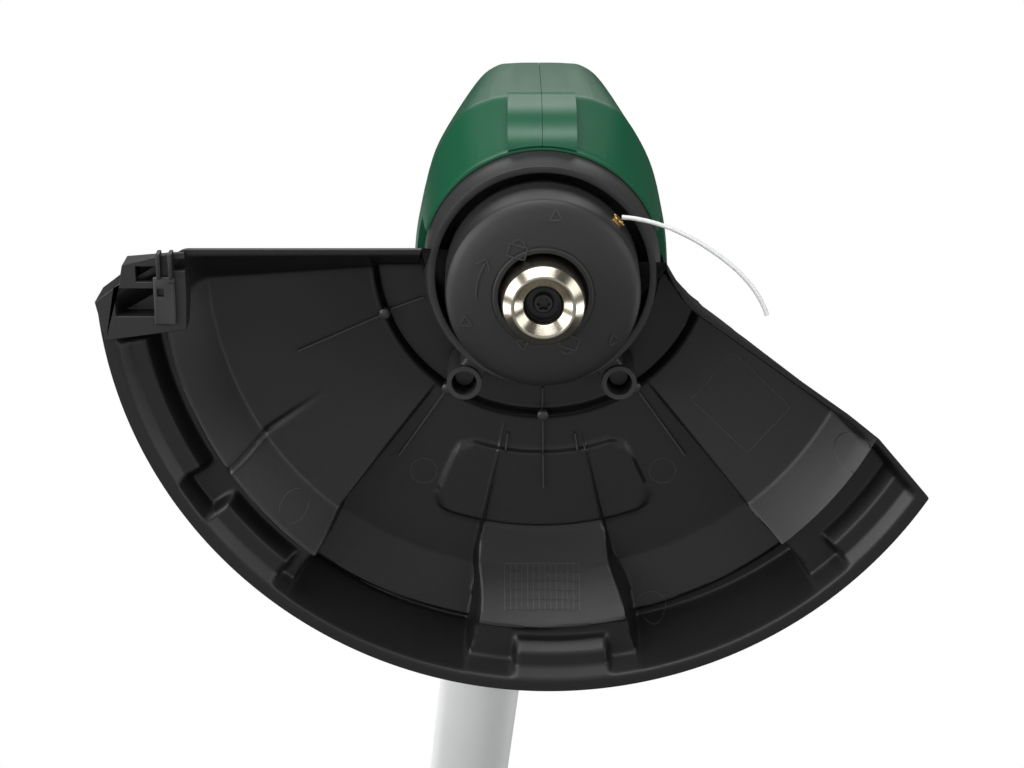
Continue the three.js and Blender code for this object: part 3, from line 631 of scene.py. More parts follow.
# debris guard
guard = {
    "hole": 44.0,
    "rim": 161.15,
    "rimShift": 3.2,  # the rim's centre lies this far right of the spool axis
    "shiftFrom": (118.0, 134.0),
    "lip": 16.4,
    "wall": 2.4,
    "leftEdge": [(-40, -11), (-126, -11), (-158.3, 7.5), (-166, 11.8)],
    "leftBorder": (2.2, 14.5),  # along each edge the lip is this wide, then the ramp starts
    "rightEdge": [(42.4, -8), (46.2, -1.2), (50.4, 5.6), (55.9, 11.6), (111.1, 51.6), (122.3, 60.8),
                  (139.8, 81.5), (152, 96)],
    "rightBorder": (2.0, 4.6),
    "deepSectors": [(101.7, 128.5), (50.6, 77.3)],
    "middle": (77.3, 101.7),
    "sectorWall": (0.5, 0.11),  # a wall's width, and how much it widens with its height
    "valley": {"angle": 148.3, "depth": 1.7, "width": (0.3, 1.5), "from": (90, 122)},  # in the left sector
    # undersides as [radius, height]
    "shallow": [(62.4, 46.0), (119.6, 31.9), (134.2, 14.6), (134.9, 15.2), (136.2, 25)],
    "deep": [(62.4, 46.2), (124.2, 47.0), (144.2, 42.6), (145.4, 45.6)],
    "middleProfile": [(62.4, 46.2), (106, 46.76), (121, 38), (137, 21), (137.8, 21.4), (138.9, 26)],
    "collarTrench": [(44, 49.4), (60.2, 49.4), (61.0, 45.2), (61.9, 45.2), (62.4, 46.1)],
    "trench": 26.0,
    "ledge": 20.0,
    "ledgeSlope": (142.2, 147.2),
    "ledges": [(149.9, 171.5), (131, 144), (81.4, 95), (29, 45)],
    "ledgeEnd": 0.6,  # half the angle that a ledge's end takes
    "outerSlope": (152.6, 156.6),
    "deepSlope": 147.6,
    "plateau": {"radii": (76.0, 106.0), "angles": (66.0, 113.0), "corner": 7.0, "depth": 1.5},
}


def centreShift(radius):
    return guard["rimShift"] * eased(radius, *guard["shiftFrom"])


def edgeAngle(outline, radius):
    # where the circle of one row crosses the drawn edge
    shift = centreShift(radius)
    for (x0, y0), (x1, y1) in zip(outline, outline[1:]):
        near, far = math.hypot(x0 - shift, y0), math.hypot(x1 - shift, y1)
        if near <= radius <= far:
            low, high = 0.0, 1.0
            for _ in range(30):
                half = (low + high) / 2
                reach = math.hypot(x0 + (x1 - x0) * half - shift, y0 + (y1 - y0) * half)
                low, high = (half, high) if reach < radius else (low, half)
            angle = math.atan2(y0 + (y1 - y0) * low, x0 + (x1 - x0) * low - shift)
            return angle + math.tau if angle < -math.pi / 2 else angle
    return math.pi if outline is guard["leftEdge"] else 0.0


def edgeDistance(outline, x, y):
    best = 1e9
    for (x0, y0), (x1, y1) in zip(outline, outline[1:]):
        run = Vector((x1 - x0, y1 - y0))
        t = min(max(run.dot(Vector((x - x0, y - y0))) / run.length_squared, 0), 1)
        best = min(best, math.hypot(x - x0 - run.x * t, y - y0 - run.y * t))
    return best


def outerHeight(profile, radius, rimRadius, angle):
    # ramp, then the trench behind its edge, the ledges in it and the slope down to the lip
    if radius <= profile[-1][0]:
        return between(profile, radius)
    floor, end = guard["trench"], guard["ledgeEnd"]
    start, top = guard["ledgeSlope"]
    onLedge = max(eased(angle, first - end, first + end) - eased(angle, last - end, last + end)
                  for first, last in guard["ledges"])
    shelf = floor + onLedge * (between([(start, floor), (top, guard["ledge"])], rimRadius) - floor)
    inner, outer = guard["outerSlope"]
    return between([(inner, shelf), (outer, guard["lip"])], rimRadius) if rimRadius > inner else shelf


def deepHeight(radius, rimRadius):
    height, start, end = between(guard["deep"], radius), guard["deepSlope"], guard["outerSlope"][1]
    return between([(start, height), (end, guard["lip"])], rimRadius) if rimRadius > start else height


def fromEdge(side, x, y, height):
    # the lip along a straight edge, and the ramp from it up to a height
    lipEnd, rampEnd = guard[f"{side}Border"]
    return between([(lipEnd, guard["lip"]), (rampEnd, height)], edgeDistance(guard[f"{side}Edge"], x, y))


def sectorHeight(radius, rimRadius, angle):
    # the shallow and deep sectors, with a wall between each two
    low, high = guard["middle"]
    profile = guard["middleProfile"] if low <= angle <= high else guard["shallow"]
    plain = outerHeight(profile, radius, rimRadius, angle)
    deep = deepHeight(radius, rimRadius)
    width, widening = guard["sectorWall"]
    halfWall = math.degrees((width + widening * abs(deep - plain)) / 2 / radius)
    share = max(eased(angle, first - halfWall, first + halfWall)
                - eased(angle, last - halfWall, last + halfWall) for first, last in guard["deepSectors"])
    height = plain + (deep - plain) * share
    valley = guard["valley"]
    if radius < guard["shallow"][2][0] + 0.6:
        beside = math.radians(abs(angle - valley["angle"])) * radius
        height += valley["depth"] * (1 - eased(beside, *valley["width"])) * eased(radius, *valley["from"])
    return height


def plateauDrop(radius, angle):
    # the raised pad with round corners in front of the collar
    plateau = guard["plateau"]
    (inner, outer), (first, last), corner = plateau["radii"], plateau["angles"], plateau["corner"]
    if not (inner < radius < outer and first < angle < last):
        return 0
    inX = math.radians(min(angle - first, last - angle)) * radius
    inY = min(radius - inner, outer - radius)
    outside = inX < corner and inY < corner and math.hypot(corner - inX, corner - inY) > corner
    return 0 if outside else plateau["depth"]


def drawnHeight(x, y):
    # underside of the guard before its corners are rounded
    radius, lip = math.hypot(x, y), guard["lip"]
    if radius < guard["collarTrench"][-1][0]:
        height = between(guard["collarTrench"], radius)
        return min(height, fromEdge("left", x, y, height), fromEdge("right", x, y, height))
    rimRadius = math.hypot(x - guard["rimShift"], y)
    angle = math.degrees(math.atan2(y, x - centreShift(rimRadius)))
    angle += 360 if angle < -90 else 0
    height = lip if rimRadius > guard["outerSlope"][1] else sectorHeight(radius, rimRadius, angle)
    height -= plateauDrop(radius, angle)
    if height > lip:
        height = fromEdge("left", x, y, height)
    if height > lip:
        height = min(height, fromEdge("right", x, y, height))
    return height


def guardHeight(x, y, reach=0.55):
    # the drawn height, averaged over a small patch, so that every corner gets a small radius
    total = 2 * drawnHeight(x, y)
    for dx, dy in ((reach, 0), (-reach, 0), (0, reach), (0, -reach)):
        total += drawnHeight(x + dx, y + dy)
    return total / 6


def closeSteps(low, high, step, marks, spread):
    # even steps, with extra ones close around each mark
    count = round((high - low) / step)
    values = [low + i * (high - low) / count for i in range(count + 1)]
    for mark in marks:
        values += [mark + offset for offset in spread if low < mark + offset < high]
    values.sort()
    kept = [values[0]]
    for value in values[1:]:
        if value - kept[-1] > min(step, 1) * 0.22:
            kept.append(value)
    kept[-1] = high
    return kept


guardMesh = {
    "rowStep": 2.1,
    "rowMarks": [60.2, 61.4, 62.6, 76, 106, 119.6, 124.2, 134.4, 136.2, 138, 142.2,
                 144.4, 147.2, 152.6, 156.6],
    "rowSpread": (-0.8, -0.3, 0.3, 0.8),
    "plainAngles": (44, 166),  # between these the columns are plain angles, beyond them they follow the edges
    "angleStep": 0.72,
    "angleSpread": (-1.1, -0.75, -0.45, -0.15, 0.15, 0.45, 0.75, 1.1),
    "leftOffsets": (0, 0.5, 1.6, 2.2, 2.9, 5, 7.5, 10, 12.4, 13.6, 14.5, 15.4, 17),
    "leftFan": 17,
    "rightOffsets": (7, 5.6, 4.8, 4.2, 3.4, 2.7, 2.0, 1.4, 0.5, 0),
    "rightFan": 31,
}


def guardColumns():
    # each column is its kind and its offset from an edge, its share of a fan or its angle
    leftFan, rightFan = guardMesh["leftFan"], guardMesh["rightFan"]
    marks = [guard["valley"]["angle"]]
    marks += [end for ends in guard["deepSectors"] + guard["ledges"] for end in ends]
    plain = closeSteps(*guardMesh["plainAngles"], guardMesh["angleStep"], marks, guardMesh["angleSpread"])
    columns = [("left", offset) for offset in guardMesh["leftOffsets"]]
    columns += [("leftFan", (i + 1) / leftFan) for i in range(leftFan - 1)]
    columns += [("plain", angle) for angle in reversed(plain)]
    columns += [("rightFan", 1 - (i + 1) / rightFan) for i in range(rightFan - 1)]
    columns += [("right", offset) for offset in guardMesh["rightOffsets"]]
    return columns


def columnAngle(column, left, right, radius):
    kind, value = column
    low, high = (math.radians(angle) for angle in guardMesh["plainAngles"])
    if kind == "left":
        return left - value / radius
    if kind == "leftFan":
        return (left - guardMesh["leftOffsets"][-1] / radius) * (1 - value) + high * value
    if kind == "rightFan":
        return (right + guardMesh["rightOffsets"][0] / radius) * (1 - value) + low * value
    if kind == "right":
        return right + value / radius
    return math.radians(value)


guardDetail = {
    "ribs": [(159.5, 46, 95), (124.5, 60, 94), (89.3, 51.5, 90), (55.0, 60, 94.5)],  # angle, from, to
    "rib": (0.95, 1.3),  # width, height
    "ribStep": 1.5,
    "boss": [(0, -1.9), (1.3, -1.9), (2.0, -1.4), (2.2, 0.8), (0, 0.8)],
    "bossAt": (61.4, 46.0),
    "shortRibs": [((-12.4, 68.5), (-13.2, 75.6)), ((12.8, 68.5), (13.9, 75.6))],
    "shortRib": (1.0, 1.4),
    "frame": [(71.4, 35.5), (55.7, 53.8), (76.7, 72.4), (91.9, 54.4)],
    "discs": [(113.2, 66.2, 6.2), (42.6, 138.3, 5.8), (-90.9, 88.7, 5.1), (-44, 84, 5.0), (46, 84, 5.0)],
    "gridX": (-13.4, 14.7, 14),  # from, to, how many lines
    "gridY": (118.7, 132.0, 6),
}


def evenly(first, last, count):
    return [first + (last - first) * i / (count - 1) for i in range(count)]


def makeGuardRibs(settings):
    bm = bmesh.new()
    for angle, low, high in settings["ribs"]:
        turn = Vector((math.cos(math.radians(angle)), math.sin(math.radians(angle))))
        stops = evenly(low, high, round((high - low) / settings["ribStep"]) + 1)
        path = [tuple(turn * reach) for reach in stops]
        addPart(bm, ribbon(bmesh.new(), path, *settings["rib"], guardHeight, sink=0.6))
        reach, height = settings["bossAt"]
        place = Matrix.Translation((*(turn * reach), height))
        addPart(bm, movedBy(turned(settings["boss"], 24), place))
    for ends in settings["shortRibs"]:
        addPart(bm, ribbon(bmesh.new(), fineLine(ends), *settings["shortRib"], guardHeight, sink=0.6))
    # the ribs and bosses take the lighter black, a painted highlight
    finished("guard_ribs", bm, headPlace, "head", "ribHighlightBlack", sharp=40)


def makeGuardMarks(settings):
    marks = bmesh.new()
    corners = settings["frame"]
    frame = fineLine(corners + corners[:1], 2)[:-1]
    addPart(marks, ribbon(bmesh.new(), frame, 0.45, 0.22, guardHeight, True))
    for x, y, radius in settings["discs"]:
        addPart(marks, ribbon(bmesh.new(), arc(x, y, radius, 0, 348, 30), 0.4, 0.16, guardHeight, True))
    (left, right, columns), (near, far, rows) = settings["gridX"], settings["gridY"]
    for x in evenly(left, right, columns):
        addPart(marks, ribbon(bmesh.new(), fineLine([(x, near), (x, far)], 2), 0.45, 0.25, guardHeight))
    for y in evenly(near, far, rows):
        addPart(marks, ribbon(bmesh.new(), fineLine([(left, y), (right, y)], 2), 0.45, 0.2, guardHeight))
    # the raised marks take the lighter black, a painted highlight
    finished("guard_marks", marks, headPlace, "head", "ribHighlightBlack", sharp=40)


cutter = {
    "outline": [(-157.9, 7.2), (-148.9, 0.4), (-147.6, -6.2), (-128.6, -10.9), (-125.4, -10.9), (-125.4, 6),
                (-126, 17.5), (-154.8, 21.5)],
    "heights": (13.2, 31.0),
    "slantAt": (0, -10.6, 15.0),  # its front leans back above this point
    "slant": (0, -1, 0.42),
    "cavities": [((8.4, 5.6, 14), (-138.6, -3.0, 15)), ((13.6, 10.2, 14), (-143.8, 7.4, 15)),
                 ((5.6, 4.2, 8), (-127.4, -6.4, 15))],
    "blade": [((7.6, 17.6, 1.6), (-132.9, 6.4, 12.4)), ((1.8, 15, 18), (-130.4, 7.2, 20))],
    "window": ((2.5, 3.0, 8), (-134.2, 3.2, 12.4)),
    "fork": [((1.5, 9.4, 6), (-134.4, -6.6, 12.8)), ((1.5, 9.4, 6), (-130.2, -6.6, 12.8))],
}


def softBlock(size, centre, radius):
    bm = block(size, centre)
    bmesh.ops.bevel(bm, geom=bm.edges[:], offset=radius, affect="EDGES", segments=3, profile=0.5, material=-1)
    return bm


def makeCutter(settings):
    low, high = settings["heights"]
    form = slab(settings["outline"], low, high)
    geometry = form.verts[:] + form.edges[:] + form.faces[:]
    bmesh.ops.bisect_plane(form, geom=geometry, plane_co=settings["slantAt"], plane_no=settings["slant"],
                           clear_outer=True)
    bmesh.ops.holes_fill(form, edges=[side for side in form.edges if side.is_boundary], sides=0)
    holder = rough("holderWork", form)
    for size, centre in settings["cavities"]:
        holder = combined(holder, rough("cavityWork", block(size, centre)), "DIFFERENCE")
    fromRough("cutter_holder", holder, headPlace, "head", "bodyBlack", edge=0.5, segments=3)
    fork = bmesh.new()
    for size, centre in settings["fork"]:
        addPart(fork, softBlock(size, centre, 0.4))
    finished("cutter_fork", fork, headPlace, "head", "bodyBlack")
    size, centre = settings["blade"][0]
    blade = rough("bladeWork", softBlock(size, centre, 0.5))
    blade = combined(blade, rough("legWork", block(*settings["blade"][1])), "UNION")
    blade = combined(blade, rough("windowWork", block(*settings["window"])), "DIFFERENCE")
    fromRough("cutter_knife", blade, headPlace, "head", "bladeSteel", ["cutter_blade"], edge=0.15)


def makeGuard():
    rows = closeSteps(guard["hole"], guard["rim"], guardMesh["rowStep"], guardMesh["rowMarks"],
                      guardMesh["rowSpread"])
    columns = guardColumns()
    top = rows[::-1]
    count = len(rows) + len(top)
    bm = bmesh.new()
    bmesh.ops.create_grid(bm, x_segments=len(columns) - 1, y_segments=count - 1, size=0.5)
    heights = {}
    for row in rows:
        left, right = edgeAngle(guard["leftEdge"], row), edgeAngle(guard["rightEdge"], row)
        shift = centreShift(row)
        for i, column in enumerate(columns):
            angle = columnAngle(column, left, right, row)
            x, y = shift + row * math.cos(angle), row * math.sin(angle)
            heights[row, i] = (x, y, guardHeight(x, y))
    order = {row: i for i, row in enumerate(rows)}
    for vert in bm.verts:
        i = round((vert.co.x + 0.5) * (len(columns) - 1))
        j = round((vert.co.y + 0.5) * (count - 1))
        if j < len(rows):
            vert.co = heights[rows[j], i]
            continue
        row = top[j - len(rows)]
        near = [heights[rows[k], m][2] for k in range(max(order[row] - 2, 0), min(order[row] + 3, len(rows)))
                for m in range(max(i - 1, 0), min(i + 2, len(columns)))]
        x, y, _ = heights[row, i]
        vert.co = (x, y, max(near) + guard["wall"])
    bm.verts.ensure_lookup_table()
    inner = [edge for edge in bm.edges if edge.is_boundary
             and all(abs(math.hypot(vert.co.x, vert.co.y) - guard["hole"]) < 0.1 for vert in edge.verts)]
    inner = [edge for edge in inner if abs(edge.verts[0].co.z - edge.verts[1].co.z) < guard["wall"] * 0.8]
    bmesh.ops.bridge_loops(bm, edges=inner)
    for end in (0, 1):
        # each straight end is closed by a strip between the underside and the top
        sides = [edge for edge in bm.edges if edge.is_boundary and (edge.verts[0].co.x > 0) == bool(end)]
        bmesh.ops.holes_fill(bm, edges=sides, sides=0)
    bmesh.ops.triangulate(bm, faces=[face for face in bm.faces if len(face.verts) > 4])
    finished("guard_shell", bm, headPlace, "head", "guardBlack", ["debris_guard"], sharp=50)


makeGuard()
makeGuardRibs(guardDetail)
makeGuardMarks(guardDetail)
makeCutter(cutter)
print("guard made")


# line spool
cap = {
    "face": [(15.6, -4.0), (26, -3.4), (31, -2.0), (34, 0)],  # the face that the marks lie on
    "profile": [(15.6, -4.0), (17.0, -4.0), (17.5, -3.7), (18.0, -3.95), (26, -3.4), (30.6, -2.3),
                (32.6, -1.4), (33.6, -0.4), (34.0, 1.0), (34.5, 24), (32.1, 24), (31.7, 3.6), (29, 1.2),
                (15.6, -1.2)],
    "mark": (0.95, 0.42),  # width, height
    "triangle": [(2.2, 1.5), (-2.2, 1.5), (0, -2.2)],
    "triangles": [(4.3, -28.6, 0), (-26.5, 9.6, 120), (-6.9, 17.2, 170), (24.6, 16.2, 225)],  # place, turn
    "lock": [(-3.1, 0), (3.1, 0), (3.1, 4.4), (-3.1, 4.4)],
    "lockBow": 2.1,
    "locks": [(-8.4, -18.3, 15, 0), (8.4, 18.4, 200, 55)],  # place, turn, how far the bow is open
    "arrowLine": (23.2, 178, 212),  # radius, from, to
    "arrowHead": [(-3.4, 0.6), (0.2, -1.2), (1.2, 2.8)],
}


def faceHeight(x, y):
    return between(cap["face"], math.hypot(x, y))


def makeCap(settings):
    finished("spool_cover", turned(settings["profile"], 128), headPlace, "spool", "capBlack", ["spool_cap"],
             edge=0.35, sharp=24)
    bm = bmesh.new()

    def mark(points, place=(0, 0), turn=0, closed=False):
        spin = Matrix.Rotation(math.radians(turn), 2)
        points = [tuple(Vector(place) + spin @ Vector(point)) for point in points]
        path = fineLine(points + points[:1])[:-1] if closed else fineLine(points)
        addPart(bm, ribbon(bmesh.new(), path, *settings["mark"], faceHeight, closed))

    for x, y, turn in settings["triangles"]:
        mark(settings["triangle"], (x, y), turn, True)
    for x, y, turn, opened in settings["locks"]:
        mark(settings["lock"], (x, y), turn, True)
        mark(arc(0, 0, settings["lockBow"], 180, 360 - opened, 10), (x, y), turn)
    line = arc(0, 0, *settings["arrowLine"], 14)
    mark(line)
    mark(settings["arrowHead"], line[-1])
    # the cap's raised marks take the lighter black, a painted highlight
    finished("spool_marks", bm, headPlace, "spool", "ribHighlightBlack")


makeCap(cap)

knob = {
    "profile": [(6.6, 3.7), (14.3, 3.7), (14.3, -13.6), (13.9, -14.4), (11.0, -16.9), (10.5, -17.0),
                (10.0, -16.8), (6.9, -14.2), (6.5, -13.4), (6.4, -8.6), (2.6, -8.6), (2.6, -6.4),
                (6.6, -6.4)],
    "recess": [(0, -8.9), (6.3, -8.9), (6.3, -12.6), (6.0, -12.9), (5.8, -9.4), (0, -9.4)],
    "screw": [(0, -10.4), (1.7, -10.4), (1.7, -12.0), (3.1, -12.0), (3.5, -11.6), (3.5, -9.3), (0, -9.3)],
    "lobes": 6,
    "lobe": (0.62, -13, -10.2),  # radius, from, to
    "lobeReach": 1.75,
}


def makeKnob(settings):
    finished("knob_turned", turned(settings["profile"], 128), headPlace, "bump_head", "turnedSteel",
             ["bump_knob"], edge=0.18, sharp=18)
    finished("knob_recess", turned(settings["recess"], 64), headPlace, "bump_head", "bodyBlack", edge=0.1,
             sharp=30)
    screw = rough("screwWork", turned(settings["screw"], 48))
    lobes = bmesh.new()
    reach = settings["lobeReach"]
    for i in range(settings["lobes"]):
        turn = i * math.tau / settings["lobes"]
        place = Matrix.Translation((reach * math.cos(turn), reach * math.sin(turn), 0))
        addPart(lobes, movedBy(rod(*settings["lobe"], 16), place))
    screw = combined(screw, rough("lobeWork", lobes), "DIFFERENCE")
    fromRough("knob_fastener", screw, headPlace, "bump_head", "darkScrew", ["knob_screw"], edge=0.12)


makeKnob(knob)

eyelet = {
    "angle": -42.0,
    "height": 10.0,
    "profile": [(1.1, 30.8), (2.3, 30.8), (2.3, 35.0), (2.6, 35.1), (2.7, 35.5), (2.3, 35.9), (1.7, 35.9),
                (1.1, 35.4)],  # its axis points outwards from the spool
}


def makeEyelet(settings):
    turn = Matrix.Rotation(math.radians(settings["angle"]), 4, "Z")
    lay = turn @ Matrix.Translation((0, 0, settings["height"]))
    bush = movedBy(turned(settings["profile"], 40), lay @ alongX)
    finished("brass_eyelet", bush, headPlace, "spool", "brassBush", ["line_eyelet"], edge=0.12, sharp=28)


makeEyelet(eyelet)

collar = {
    "profile": [(38.0, 19.6), (38.4, 19.4), (40.3, 19.4), (40.7, 19.9), (42.6, 33), (42.6, 49.2),
                (10.6, 49.2), (10.6, 45.2), (39.3, 45.2), (39.3, 33)],
    "inside": [(0, 10), (37.9, 10), (38.0, 19.6), (39.3, 33), (39.3, 45.2), (0, 45.2)],
    "bossAt": (28.0, 40.5),
    "post": (6.3, 22, 45.9),  # radius, from, to
    "bores": [(2.7, 20, 60), (4.6, 20, 32)],  # the screw's way and its head's
    "web": ((11, 9.4, 21.6), (43.6, 0, 35.1)),  # joins each boss to the ring
    "webCorner": 1.2,
}


def makeCollar(settings):
    ring = rough("ringWork", turned(settings["profile"], 160))
    x, y = settings["bossAt"]
    for side in (-1, 1):
        boss = Matrix.Translation((side * x, y, 0))
        web = block(*settings["web"])
        uprights = [edge for edge in web.edges if abs(edge.verts[0].co.z - edge.verts[1].co.z) < 0.1]
        bmesh.ops.bevel(web, geom=uprights, offset=settings["webCorner"], affect="EDGES", segments=3,
                        profile=0.5, material=-1)
        web = movedBy(web, Matrix.Rotation(math.atan2(y, side * x), 4, "Z"))
        ring = combined(ring, rough("webWork", web), "UNION")
        ring = combined(ring, rough("postWork", movedBy(rod(*settings["post"], 48), boss)), "UNION")
        for bore in settings["bores"]:
            ring = combined(ring, rough("boreWork", movedBy(rod(*bore, 40), boss)), "DIFFERENCE")
    ring = combined(ring, rough("insideWork", turned(settings["inside"], 160)), "DIFFERENCE")
    fromRough("collar_ring", ring, headPlace, "head", "collarBlack", ["spool_shroud"], edge=0.3, segments=2)


makeCollar(collar)
print("spool and collar made")


# motor housing
head = {
    # half outlines in plan, from the middle of the nose round to the middle of the back
    "collarLine": [(0, -43.5), (10, -42.6), (18, -39.8), (27.5, -34.2), (37.6, -22.6), (42.8, -9), (44, 3.3),
                   (44.4, 20), (41, 40), (35, 52), (24, 60), (11, 64), (0, 64.5)],
    "crease": [(0, -56.05), (12, -55.65), (20.5, -54), (29.8, -48.4), (39.7, -31.7), (44.8, -12.4),
               (46.9, 3.3), (47.4, 25), (46, 50), (40, 68), (28, 79), (12, 84), (0, 84.5)],
    "shoulder": [(0, -53.6), (10, -53.4), (17, -52.2), (24.4, -45.6), (37.4, -25.7), (43, -13), (46.3, 3.3),
                 (46.7, 25), (44.5, 50), (38, 68), (26, 78), (12, 82), (0, 82.5)],
    # height, how far from the collar line to the crease (0 to 1) or on to the shoulder (1 to 2), inset
    "levels": [(33, 0.0, 0), (33.8, 0.06, 0), (35.4, 0.11, 0), (48, 0.5, 0), (61.6, 0.925, 0),
               (63.2, 0.985, 0), (64.6, 1.0, 0), (66.4, 1.02, 0), (90, 1.35, 0), (115, 1.68, 0),
               (134, 1.93, 0), (137.4, 1.97, 0.5), (139.8, 2, 1.8), (141.4, 2, 4.2), (142, 2, 7.5)],
    "wall": 2.8,
    "steps": 144,
    "gap": 0.16,
    "nose": [(-42, 32.6), (-45.6, 33.2), (-49.6, 36.4), (-53, 41.6), (-55, 48), (-55.8, 56), (-56, 63.6),
             (-55.4, 66.4), (-42, 66.4)],  # side view of the block on the seam
    "noseWidth": 24.6,
    "noseBack": (44.4, 20, 80),  # radius, from, to
    "cheek": (24, -29, 29),  # radius, from, to: the ears that hold the neck
    "cheekTrim": ((60, 44, 40), (0, -6, 0)),
    "motorRoom": (27, 20, 130),
    "neckRoom": (25.5, -13.4, 13.4),
    "neckWay": ((26.8, 60, 37), (0, 30, 6)),
    "pinHole": (4.3, -40, 40),
    "floorCut": ((140, 160, 45.6), (0, 66.5, 29.5)),  # over the guard the housing starts higher
    "collarRoom": (42.9, 20, 49.5),
    "buttonAt": -13,
    "buttonHoles": [(5.3, -40, -12), (9.6, -50, -26.4)],
    "screwSinks": [(-40, 100), (48, 80)],
    "screwSink": (3.9, 24, 60),
}


def headRing(level, inset=0.0):
    z, share, shrink = level
    first, second = ("collarLine", "crease") if share <= 1 else ("crease", "shoulder")
    share -= 0 if share <= 1 else 1
    half = [Vector(a).lerp(Vector(b), share) for a, b in zip(head[first], head[second])]
    whole = half + [Vector((-point.x, point.y)) for point in half[-2:0:-1]]
    ring = spline(whole, head["steps"], True)
    count = len(ring)
    out = []
    for i, point in enumerate(ring):
        run = (ring[(i + 1) % count] - ring[i - 1]).normalized()
        point = point - Vector((run.y, -run.x)) * (inset + shrink)
        out.append(Vector((point.x, point.y, z)))
    return out


def ringEdges(bm, ring):
    return [bm.edges.get(pair) for pair in zip(ring, ring[1:] + ring[:1])]


def headSkin(inset, drop):
    # rings stacked by extrusion, each moved to the outline at its height, then capped
    bm = bmesh.new()
    levels = [(z - drop * eased(z, 100, 142) - (6 if inset and z < 33.5 else 0), share, shrink)
              for z, share, shrink in head["levels"]]
    ring = bmesh.ops.create_circle(bm, cap_ends=True, segments=head["steps"], radius=10)["verts"]
    ring.sort(key=lambda vert: math.atan2(vert.co.y, vert.co.x) % math.tau)
    for i, level in enumerate(levels):
        for vert, place in zip(ring, headRing(level, inset)):
            vert.co = place
        if i < len(levels) - 1:
            raised = bmesh.ops.extrude_edge_only(bm, edges=ringEdges(bm, ring))["geom"]
            fresh = {vert for vert in raised if isinstance(vert, bmesh.types.BMVert)}
            ring = [next(edge.other_vert(vert) for edge in vert.link_edges if edge.other_vert(vert) in fresh)
                    for vert in ring]
    bmesh.ops.contextual_create(bm, geom=ringEdges(bm, ring))
    return bm


def halves(solid, gap):
    # a working solid cut down the middle, each half closed again
    for side, name in ((-1, "left"), (1, "right")):
        half = bmesh.new()
        half.from_mesh(solid.data)
        bmesh.ops.remove_doubles(half, verts=half.verts, dist=0.001)
        geometry = half.verts[:] + half.edges[:] + half.faces[:]
        bmesh.ops.bisect_plane(half, geom=geometry, plane_co=(side * gap / 2, 0, 0), plane_no=(side, 0, 0),
                               clear_inner=True)
        bmesh.ops.holes_fill(half, edges=[edge for edge in half.edges if edge.is_boundary], sides=0)
        bmesh.ops.dissolve_limit(half, angle_limit=math.radians(0.5), verts=half.verts, edges=half.edges)
        yield name, half
    bpy.data.objects.remove(solid)


def makeHousing(settings):
    shell = rough("shellWork", headSkin(0, 0))
    shell = combined(shell, rough("hollowWork", headSkin(settings["wall"], settings["wall"])), "DIFFERENCE")
    cheeks = rough("cheekWork", movedBy(rod(*settings["cheek"], 72), alongX))
    cheeks = combined(cheeks, rough("trimWork", block(*settings["cheekTrim"])), "INTERSECT")
    cheeks.data.transform(shaftInHead)
    cheeks = combined(cheeks, rough("boreWork", rod(*settings["motorRoom"], 64)), "DIFFERENCE")
    shell = combined(shell, cheeks, "UNION")
    half = settings["noseWidth"] / 2
    nose = rough("noseWork", movedBy(slab(spline(settings["nose"], 40), -half, half), sideView))
    nose = combined(nose, rough("behindWork", rod(*settings["noseBack"], 128)), "DIFFERENCE")
    shell = combined(shell, nose, "UNION")
    buttonAt = shaftInHead @ Matrix.Translation((0, settings["buttonAt"], 0)) @ alongX
    small, large = settings["buttonHoles"]
    cuts = [
        movedBy(rod(*settings["neckRoom"], 72), shaftInHead @ alongX),
        movedBy(block(*settings["neckWay"]), shaftInHead),
        movedBy(rod(*settings["pinHole"], 32), shaftInHead @ alongX),
        block(*settings["floorCut"]),
        rod(*settings["collarRoom"], 128),
        movedBy(rod(*small, 32), buttonAt),
        movedBy(rod(*large, 48), buttonAt),
    ]
    for y, z in settings["screwSinks"]:
        cuts.append(movedBy(rod(*settings["screwSink"], 32), Matrix.Translation((0, y, z)) @ alongX))
    for cut in cuts:
        shell = combined(shell, rough("cutWork", cut), "DIFFERENCE")
    for name, part in halves(shell, settings["gap"]):
        finished(f"housing_{name}", part, headPlace, "head", "shellGreen", [f"head_housing_{name}"], edge=0.7,
                 segments=3, sharp=30)


makeHousing(head)
print("housing made")


# shaft

def rounded(points, radius, count=7):
    # a polygon with every corner replaced by a curve
    out = []
    for i, point in enumerate(points):
        corner = Vector(point)
        before, after = Vector(points[i - 1]) - corner, Vector(points[(i + 1) % len(points)]) - corner
        start = corner + before.normalized() * min(radius, before.length * 0.42)
        end = corner + after.normalized() * min(radius, after.length * 0.42)
        for step in range(count):
            t = step / (count - 1)
            out.append(tuple(start * (1 - t) ** 2 + corner * (2 * t * (1 - t)) + end * t * t))
    return out


def grown(points, by):
    # an outline moved outwards, whichever way round it is drawn
    area = sum(a[0] * b[1] - b[0] * a[1] for a, b in zip(points, points[1:] + points[:1]))
    by = math.copysign(by, by * area)
    out = []
    for i, point in enumerate(points):
        run = (Vector(points[(i + 1) % len(points)]) - Vector(points[i - 1])).normalized()
        out.append((point[0] + run.y * by, point[1] - run.x * by))
    return out


def sideSlab(outline, half, edge=0.0, segments=5):
    # a slab seen from the side, its rims rounded
    bm = slab(outline, -half, half)
    if edge:
        rims = [side for side in bm.edges if abs(side.verts[0].co.z - side.verts[1].co.z) < 0.01]
        bmesh.ops.bevel(bm, geom=rims, offset=edge, affect="EDGES", segments=segments, profile=0.5,
                        material=-1)
    return movedBy(bm, sideView)


def alongShaft(profile, steps=96):
    return movedBy(turned(profile, steps), alongY)


def across(bm, station, height):
    return movedBy(bm, Matrix.Translation((0, station, height)) @ alongX)


def addRings(bm, radius, stations):
    # low grip rings round a turned part
    for station in stations:
        ring = [(radius, 0), (radius + 0.9, 0.6), (radius + 0.9, 1.8), (radius, 2.4)]
        addPart(bm, alongShaft([(reach, station + rise) for reach, rise in ring]))


